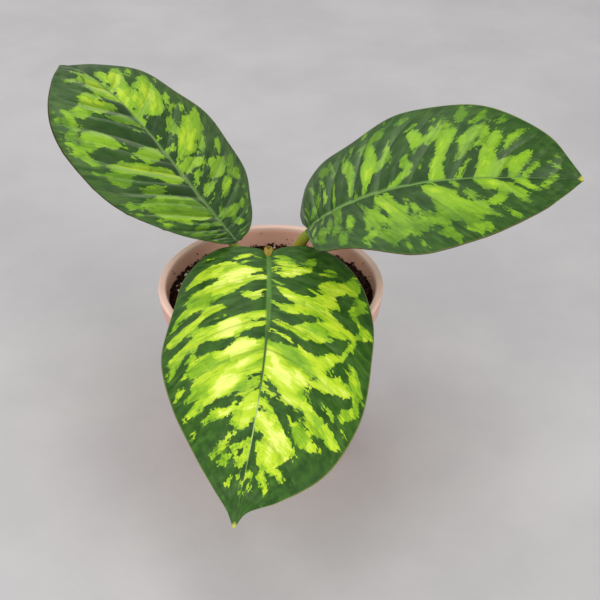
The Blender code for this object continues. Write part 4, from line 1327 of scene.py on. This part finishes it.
def alongVeins(leaf, side, rows, outward):  # places on the blade, with the relief of its veins
    edgeAlong, edgeOut = edgeOf(leaf, side, rows)
    start = rows**2
    bendAlong = start + blade["veinLean"] * (edgeAlong - start)
    bendOut = blade["veinSpread"] * edgeOut
    inner, middle, outer = (1 - outward) ** 2, 2 * outward * (1 - outward), outward**2
    along = inner * start + middle * bendAlong + outer * edgeAlong
    across = middle * bendOut + outer * edgeOut
    surface = onBlade(leaf, side, along, across)
    fade = np.clip(4 * rows * (1 - rows), 0, 1)
    wave = np.sin(tau * blade["edgeWaves"] * rows + side) * outward**3
    reach = np.clip(along, 0, 1)
    depth = np.interp(reach, (0, 1), blade["channelDepth"])
    width = np.interp(reach, (0, 1), blade["channelWidth"])
    rib = blade["ribShare"] * np.exp(-((across / (blade["ribNarrow"] * width)) ** 2))
    channel = np.exp(-((across / width) ** 2)) - rib
    relief = leaf["quilt"][side] * puffOf(rows, outward) + blade["edgeWaveHeight"] * wave
    _, _, _, up = spineOf(leaf, along)
    return surface + up * (fade * relief - depth * channel)[:, None]


def paint(rows, outward, strokes, endSlope):  # how far inside the strokes, in rows: below 0 is outside
    field = np.full(len(rows), -0.05)
    for stroke in strokes:
        place, out, half = np.array(stroke).T / 100
        inside = np.interp(outward, out, half) - np.abs(rows - np.interp(outward, out, place))
        ends = endSlope * (out[-1] - outward)
        if out[0] > 0:
            ends = np.minimum(ends, endSlope * (outward - out[0]))
        field = np.maximum(field, np.minimum(inside, ends))
    return field


def markingField(name, side, rows, outward):  # above 0 is light, below is dark green
    marks = markings[name, side]
    light, dark = (paint(rows, outward, marks[kind], blade["strokeEnd"]) for kind in ("light", "dark"))
    fleck = paint(rows, outward, marks["fleck"], blade["fleckEnd"])
    field = np.maximum(np.minimum(light, -dark) + leaves[name]["grow"], fleck)
    return np.clip(field, -blade["fieldReach"], blade["fieldReach"])


def toneField(name, side, rows, outward):  # 0 is deep green, 1 is pale yellow
    marks = markings[name, side]
    fields = (paint(rows, outward, marks[kind], blade["strokeEnd"]) for kind in ("pale", "deep"))
    pale, deep = (np.clip(0.5 + field / blade["toneBlur"], 0, 1) for field in fields)
    leaf = leaves[name]
    return leaf["tone"] + leaf["toneSpread"] * pale - blade["deepDrop"] * leaf["swing"] * deep


leafGrain = {  # how fine each grain is, along the blade and out along the veins
    "fibre": (230, 30, 1),
    "step": (90, 46, 1),
    "sway": (36, 14, 1),
    "streak": (60, 9, 1),
    "thread": (260, 16, 1),
    "block": (38, 14, 1),
    "ribLine": (7, 320, 1),
    "relief": (420, 26, 1),
    "pores": 1400.0,
}

leafTones = {
    "lime": ((88, 132, 18), (134, 180, 30), (188, 218, 40), (236, 246, 122)),
    "limeSteps": (0.0, 0.35, 0.65, 1.0),
    "dark": ((36, 74, 15), (60, 102, 28)),
    "darkStreak": (88, 130, 46),
    "darkEdge": (80, 122, 44),
    "hazeAndSheen": (108, 142, 62),
    "slatySheen": (46, 66, 42),
    "milkySheen": (176, 206, 150),
    "groove": (52, 92, 22),
    "rib": ((44, 82, 22), (94, 142, 50), (186, 208, 128)),
    "ribSteps": (0.1, 0.5, 1.0),
    "ribGreyAndSheen": (132, 150, 104),
    "sheen": (176, 190, 156),
    "shade": (20, 40, 8),
    "margin": (150, 160, 84),
    "bronze": (62, 44, 18),
    "tip": (196, 196, 84),
    "under": ((84, 112, 66), (142, 166, 84)),
    "underVeins": (120, 140, 92),
    "rim": ((40, 32, 12), (72, 60, 28)),
    "stalk": ((136, 120, 28), (180, 146, 54)),
    "stalkTop": (124, 152, 36),
    "stalkOuter": (48, 84, 22),
    "stalkFlecks": (84, 92, 36),
}


def upperFinish():
    green = newMaterial("leafUpper", IOR=1.45, Specular_IOR_Level=0.2)
    veins = surfacePlace(green)
    names = ("patch", "tone", "groove", "midrib", "ribTone", "mid", "greyAndSheen", "swing")
    patch, tone, groove, middle, ribTone, mid, greyAndSheen, swing = (reading(green, name) for name in names)
    row = axisOf(green, veins, 0)
    outward = maths(green, "SUBTRACT", axisOf(green, veins, 1), 0.5)
    outward = times(green, maths(green, "ABSOLUTE", outward), 2.0)
    fibre, sway, lines, fine = (
        stretched(green, veins, leafGrain[name]) for name in ("fibre", "sway", "ribLine", "relief")
    )
    streak = stretched(green, veins, leafGrain["streak"], 4.0, 0.6)
    thread = stretched(green, veins, leafGrain["thread"], 3.0, 0.7)
    step, block = (cells(green, veins, leafGrain[name]) for name in ("step", "block"))
    # The edges of the patches: long fibres along the veins, and small square steps
    edge = shifted(green, patch, (fibre, 0.015), (step, 0.006), (sway, 0.009))
    lit = ranged(green, edge, -0.0008, 0.0008)
    # The light patches, in streaks along the veins and deeper towards their edges
    change = shifted(green, 0.0, (streak, 0.7), (block, 0.3), (thread, 0.7))
    tone = maths(green, "ADD", tone, times(green, change, swing))
    tone = maths(green, "SUBTRACT", tone, ranged(green, edge, 0.009, 0.0, 0.0, 0.14))
    lime = toned(green, tone, leafTones["limeSteps"], leafTones["lime"])
    # The dark patches, with blurred middle green; towards the margins a hazy middle green, partly the leaf's
    # own tone and partly painted sheen
    dark = toned(green, sway, (0.3, 0.7), leafTones["dark"])
    dark = over(green, dark, ranged(green, streak, 0.50, 0.70, 0.0, 0.55), leafTones["darkStreak"])
    dark = over(green, dark, ranged(green, edge, -0.006, -0.001, 0.0, 0.12), leafTones["darkEdge"])
    hazeAndSheen = times(green, mid, ranged(green, shifted(green, streak, (thread, 0.3)), 0.36, 0.60))
    dark = over(green, dark, hazeAndSheen, leafTones["hazeAndSheen"])
    # Painted sheen, partly the leaf's own greyer tone: slaty darks and milky limes, most on a leaf that
    # stands up to the light
    dark = over(green, dark, times(green, greyAndSheen, 0.7), leafTones["slatySheen"])
    lime = over(green, lime, times(green, greyAndSheen, 0.05), leafTones["milkySheen"])
    tint = mixed(green, lit, dark, lime)
    # Painted shade in the side veins' grooves, and the midrib
    tint = over(green, tint, times(green, groove, 0.45), leafTones["groove"])
    rib = toned(green, shifted(green, ribTone, (lines, 0.7)), leafTones["ribSteps"], leafTones["rib"])
    # The midrib is greyed too, by the same painted sheen
    rib = over(green, rib, times(green, greyAndSheen, 0.35), leafTones["ribGreyAndSheen"])
    tint = mixed(green, middle, tint, rib)
    # Slopes of the quilting: a painted grey sheen on those that face the tip, and painted shade on the others
    slope = times(green, reading(green, "slope"), ranged(green, streak, 0.25, 0.75, 0.55, 1.3))
    tint = over(green, tint, maths(green, "MAXIMUM", slope, 0.0), leafTones["sheen"])
    tint = over(green, tint, maths(green, "MAXIMUM", times(green, slope, -1.0), 0.0), leafTones["shade"])
    # The margin: a pale line, turned dark bronze as painted shade where the edge curls under, and the tip
    rind = over(green, colour(*leafTones["margin"]), reading(green, "bronze"), leafTones["bronze"])
    tint = mixed(green, times(green, ranged(green, outward, 0.984, 0.995), 0.8), tint, rind)
    tint = over(green, tint, ranged(green, row, 0.985, 0.994), leafTones["tip"])
    pores = grain(green, objectPlace(green), leafGrain["pores"], 2.0)
    relief = maths(green, "ADD", fine, times(green, pores, 0.35))
    rough = ranged(green, streak, 0.2, 0.8, 0.34, 0.44)
    return finish(green, Base_Color=tint, Roughness=rough, Normal=bump(green, relief, 0.0001, 0.6))


def underFinish():
    pale = newMaterial("leafUnder", IOR=1.42)
    fibre = stretched(pale, surfacePlace(pale), (120, 14, 1), 3.0)
    edge = shifted(pale, reading(pale, "patch"), (fibre, 0.03))
    tint = toned(pale, edge, (-0.006, 0.006), leafTones["under"])
    tint = over(pale, tint, ranged(pale, fibre, 0.4, 0.7, 0.0, 0.3), leafTones["underVeins"])
    rough = ranged(pale, fibre, 0.2, 0.8, 0.5, 0.62)
    return finish(pale, Base_Color=tint, Roughness=rough, Normal=bump(pale, fibre, 0.0002, 0.6))


def stalkFinish():
    skin = newMaterial("stalkSkin", IOR=1.45)
    place = surfacePlace(skin)
    streak = stretched(skin, place, (6, 40, 1), 4.0, 0.6)
    fleck = stretched(skin, place, (90, 60, 1))
    tint = toned(skin, streak, (0.3, 0.7), leafTones["stalk"])
    tint = over(skin, tint, reading(skin, "ribTone"), leafTones["stalkTop"])
    # The outer side is dark green
    outer = maths(skin, "ABSOLUTE", maths(skin, "SUBTRACT", axisOf(skin, place, 1), 0.75))
    share = ranged(skin, shifted(skin, outer, (streak, 0.16)), 0.26, 0.16)
    tint = over(skin, tint, times(skin, share, reading(skin, "mid")), leafTones["stalkOuter"])
    tint = over(skin, tint, ranged(skin, fleck, 0.6, 0.75, 0.0, 0.5), leafTones["stalkFlecks"])
    rough = ranged(skin, fleck, 0.2, 0.8, 0.36, 0.5)
    return finish(skin, Base_Color=tint, Roughness=rough, Normal=bump(skin, streak, 0.0002, 0.5))


def rimFinish():
    # The blade's thin rim, in dark bronze as painted shade at the edge
    bronze = newMaterial("leafRim", IOR=1.45, Roughness=0.45)
    rimMottle = grain(bronze, objectPlace(bronze), 300.0)
    tint = toned(bronze, rimMottle, (0.35, 0.65), leafTones["rim"])
    return finish(bronze, Base_Color=tint, Normal=bump(bronze, rimMottle, 0.0001, 0.4))


def bladeReadings(name, leaf, rows, outward, onLeft):  # the values that the blade's finish reads

    def bySide(values):
        return np.where(onLeft, values[left], values[right])

    fields = (markingField, toneField)
    marks, tones = ({side: field(name, side, rows, outward) for side in (left, right)} for field in fields)
    ribWidth = np.interp(rows**2, blade["ribWidthStations"], leaf["ribWidths"])
    turns = veinTurns(rows)
    waves = (np.abs(np.sin(angle)) for angle in (turns / 2, turns))
    coarse, fine = (np.clip(1 - wave / blade["veinGroove"], 0, 1) for wave in waves)
    fadeStart, fadeEnd = blade["slopeFade"]
    fade = np.clip((fadeEnd - outward) / (fadeEnd - fadeStart), 0, 1)
    before, after = (puffOf(rows + step, outward) for step in (-blade["slopeStep"], blade["slopeStep"]))
    steepness = np.clip((before - after) / blade["slopeFull"], -1, 1)
    hazeStart, hazeEnd = blade["hazeFade"]
    return {
        "slope": steepness * fade * bySide(leaf["slopeShading"]),
        "patch": bySide(marks),
        "tone": bySide(tones),
        "groove": np.maximum(coarse, 0.5 * fine) * (1 - outward) ** 0.6,
        "mid": leaf["mid"] * np.clip((outward - hazeStart) / (hazeEnd - hazeStart), 0, 1),
        "greyAndSheen": leaf["greyAndSheen"] * np.clip(1.1 - outward, 0.6, 1),
        "swing": np.full(len(rows), leaf["swing"]),
        "bronze": bySide(leaf["bronze"]) * (rows < blade["bronzeEnd"]),
        "ribTone": np.interp(rows**2, blade["ribToneStations"], leaf["ribTones"]),
        "midrib": np.clip(1.5 - outward * leaf["halfWidth"][left] / ribWidth, 0, 1),
    }


def makeBlade(name, leaf, materials):
    bm = bmesh.new()
    bmesh.ops.create_grid(bm, x_segments=blade["rows"], y_segments=2 * blade["columns"], size=1.0)
    piece = newPiece(name + "_blade", bm, materials)
    mesh = piece.data
    grid = np.zeros(3 * len(mesh.vertices))
    mesh.vertices.foreach_get("co", grid)
    grid = grid.reshape(-1, 3)
    rows = blade["firstRow"] + (blade["lastRow"] - blade["firstRow"]) * (grid[:, 0] + 1) / 2
    outward = np.clip(np.abs(grid[:, 1]), 0, 1) ** blade["columnCrowding"]
    onLeft = grid[:, 1] > 0
    places = [alongVeins(leaf, side, rows, outward) for side in (left, right)]
    mesh.vertices.foreach_set("co", np.where(onLeft[:, None], *places).ravel())
    for label, values in bladeReadings(name, leaf, rows, outward, onLeft).items():
        mesh.attributes.new(label, "FLOAT", "POINT").data.foreach_set("value", values)
    corners = np.zeros(len(mesh.loops), int)
    mesh.loops.foreach_get("vertex_index", corners)
    veins = np.stack([rows, 0.5 + 0.5 * np.where(onLeft, 1, -1) * outward], -1)[corners]
    mesh.uv_layers.new(name="veins").data.foreach_set("uv", veins.ravel())
    wall = piece.modifiers.new("thickness", "SOLIDIFY")
    wall.thickness = blade["thickness"]
    wall.offset = -1
    wall.material_offset = 1  # the underside, and 3 is the rim
    wall.material_offset_rim = 3
    return piece


def footOf(leaf):  # where the stalk stands in the crown, and its lean
    turn = math.radians(leaf["footTurn"])
    lean = math.radians(crown["footLean"])
    foot = np.array((*crown["centre"], soil["level"] + crown["aboveSoil"] - crown["socketDepth"]))
    foot[:2] += onCircle(crown["footCircle"], turn)
    return foot, np.array((*onCircle(math.sin(lean), turn), math.cos(lean)))


def stalkRoute(leaf):  # centre points and radii, from the foot to the blade and on along the rib
    foot, direction = footOf(leaf)
    shares = stalk["ribReach"] * np.linspace(0, 1, stalk["ribSteps"]) ** stalk["ribCrowding"]
    rib, forward, _, up = spineOf(leaf, shares)
    ribRadii = stalk["radii"][2] + (stalk["ribEnd"] - stalk["radii"][2]) * shares ** stalk["ribTaper"]
    sunk = np.clip((shares - stalk["ribHold"]) / stalk["ribSink"], 0, 1)
    raised = leaf["bendRise"] * (1 - sunk**2 * (3 - 2 * sunk))
    under = ribRadii + 0.4 * blade["thickness"] + stalk["ribGap"] + blade["channelDepth"][0]
    rib = rib - up * ((1 - raised) * under - raised * stalk["ribLift"])[:, None]
    bendStart = foot + direction * (crown["socketDepth"] + stalk["straight"])
    reach = np.linalg.norm(rib[0] - bendStart)
    firstPull = bendStart + direction * leaf["pulls"][0] * reach
    lastPull = rib[0] - forward[0] * leaf["pulls"][1] * reach
    share = np.linspace(0, 1, stalk["bendSteps"], endpoint=False)[:, None]
    rest = 1 - share
    bend = rest**3 * bendStart + 3 * rest**2 * share * firstPull
    bend += 3 * rest * share**2 * lastPull + share**3 * rib[0]
    bendRadii = np.interp(share[:, 0], (0, 0.5, 1), stalk["radii"])
    points = np.concatenate([[foot], bend, rib])
    radii = np.concatenate([[crown["footRadius"]], bendRadii, ribRadii])
    return points, radii


def makeStalk(name, leaf, materials):  # a grid rolled into a tube along the route
    points, radii = stalkRoute(leaf)
    walked = np.concatenate([[0], np.cumsum(np.linalg.norm(np.diff(points, axis=0), axis=1))])
    bm = bmesh.new()
    bmesh.ops.create_grid(bm, x_segments=stalk["rings"], y_segments=stalk["sides"], size=1.0)
    uv = bm.loops.layers.uv.new("veins")
    for face in bm.faces:
        face.material_index = 2
        for loop in face.loops:
            loop[uv].uv = ((loop.vert.co.x + 1) / 2, (loop.vert.co.y + 1) / 2)
    place = np.array([vert.co for vert in bm.verts])
    distance = walked[-1] * (place[:, 0] + 1) / 2
    around = math.pi * place[:, 1]
    behind, centre, ahead = (readAlong(points, walked, distance + step) for step in (-0.0005, 0, 0.0005))
    heading = ahead - behind
    heading /= np.linalg.norm(heading, axis=1)[:, None]
    turn = math.radians(leaf["footTurn"])
    sideways = np.cross(heading, (*onCircle(1, turn), 0.02))
    sideways /= np.linalg.norm(sideways, axis=1)[:, None]
    upward = np.cross(sideways, heading)
    # A shallow groove on the upper side, and fine ridges along the stalk
    depth, width = stalk["groove"]
    height, number = stalk["ridges"]
    groove = 1 - depth * np.exp(-(((np.abs(around) - math.pi) / width) ** 2))
    groove += height * np.cos(number * around)
    radius = np.interp(distance, walked, radii) * groove
    ring = sideways * np.cos(around)[:, None] + upward * np.sin(around)[:, None]
    bendEnd = walked[-1] - stalk["ribReach"] * leaf["length"]
    green = np.clip((distance - bendEnd) / stalk["greenReach"] + 1, 0, 1)
    shades = bm.verts.layers.float.new("mid")
    greens = bm.verts.layers.float.new("ribTone")
    for vert, spot, share in zip(bm.verts, centre + ring * radius[:, None], green):
        vert.co = spot
        vert[shades] = leaf["stalkShade"]
        vert[greens] = leaf["stalkGreen"] * share
    bmesh.ops.remove_doubles(bm, verts=bm.verts, dist=stalk["weld"])
    bmesh.ops.holes_fill(bm, edges=[edge for edge in bm.edges if edge.is_boundary])
    bmesh.ops.recalc_face_normals(bm, faces=bm.faces)
    return newPiece(name + "_stalk", bm, materials)


def makeLeaf(name, leaf, materials):
    bm = bmesh.new()
    parts = [makeBlade(name, leaf, materials), makeStalk(name, leaf, materials)]
    bpy.context.view_layer.update()
    graph = bpy.context.evaluated_depsgraph_get()
    for part in parts:
        bm.from_mesh(part.evaluated_get(graph).to_mesh())
        bpy.data.objects.remove(part)
    piece = newPiece(name + "_grown", bm, materials)
    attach(piece, "root")
    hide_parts(name)
    print(name, "made:", len(piece.data.polygons), "faces")


def makeCrown(skin):
    profile = [(share * crown["radius"], soil["level"] + height) for share, height in crown["profile"]]
    bm = spun(profile, crown["sides"])
    bmesh.ops.subdivide_edges(bm, edges=bm.edges, cuts=1, use_grid_fill=True)
    height, reach = crown["bumps"]
    for vert in bm.verts:
        vert.co.xy += Vector(crown["centre"])
        vert.co += vert.normal * height * noise.noise(vert.co / reach)
    piece = newPiece("crownStem", bm, [skin])
    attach(piece, "root")
    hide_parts("crown")


makeCamera()
makeLights()
makeFloor()
print("stage ready")
makePot()
print("pot made")
makeSoil()
print("soil made")
leafMaterials = [upperFinish(), underFinish(), stalkFinish(), rimFinish()]
makeCrown(leafMaterials[2])
print("crown made")
for leafName, leafShape in leaves.items():
    makeLeaf(leafName, leafShape, leafMaterials)
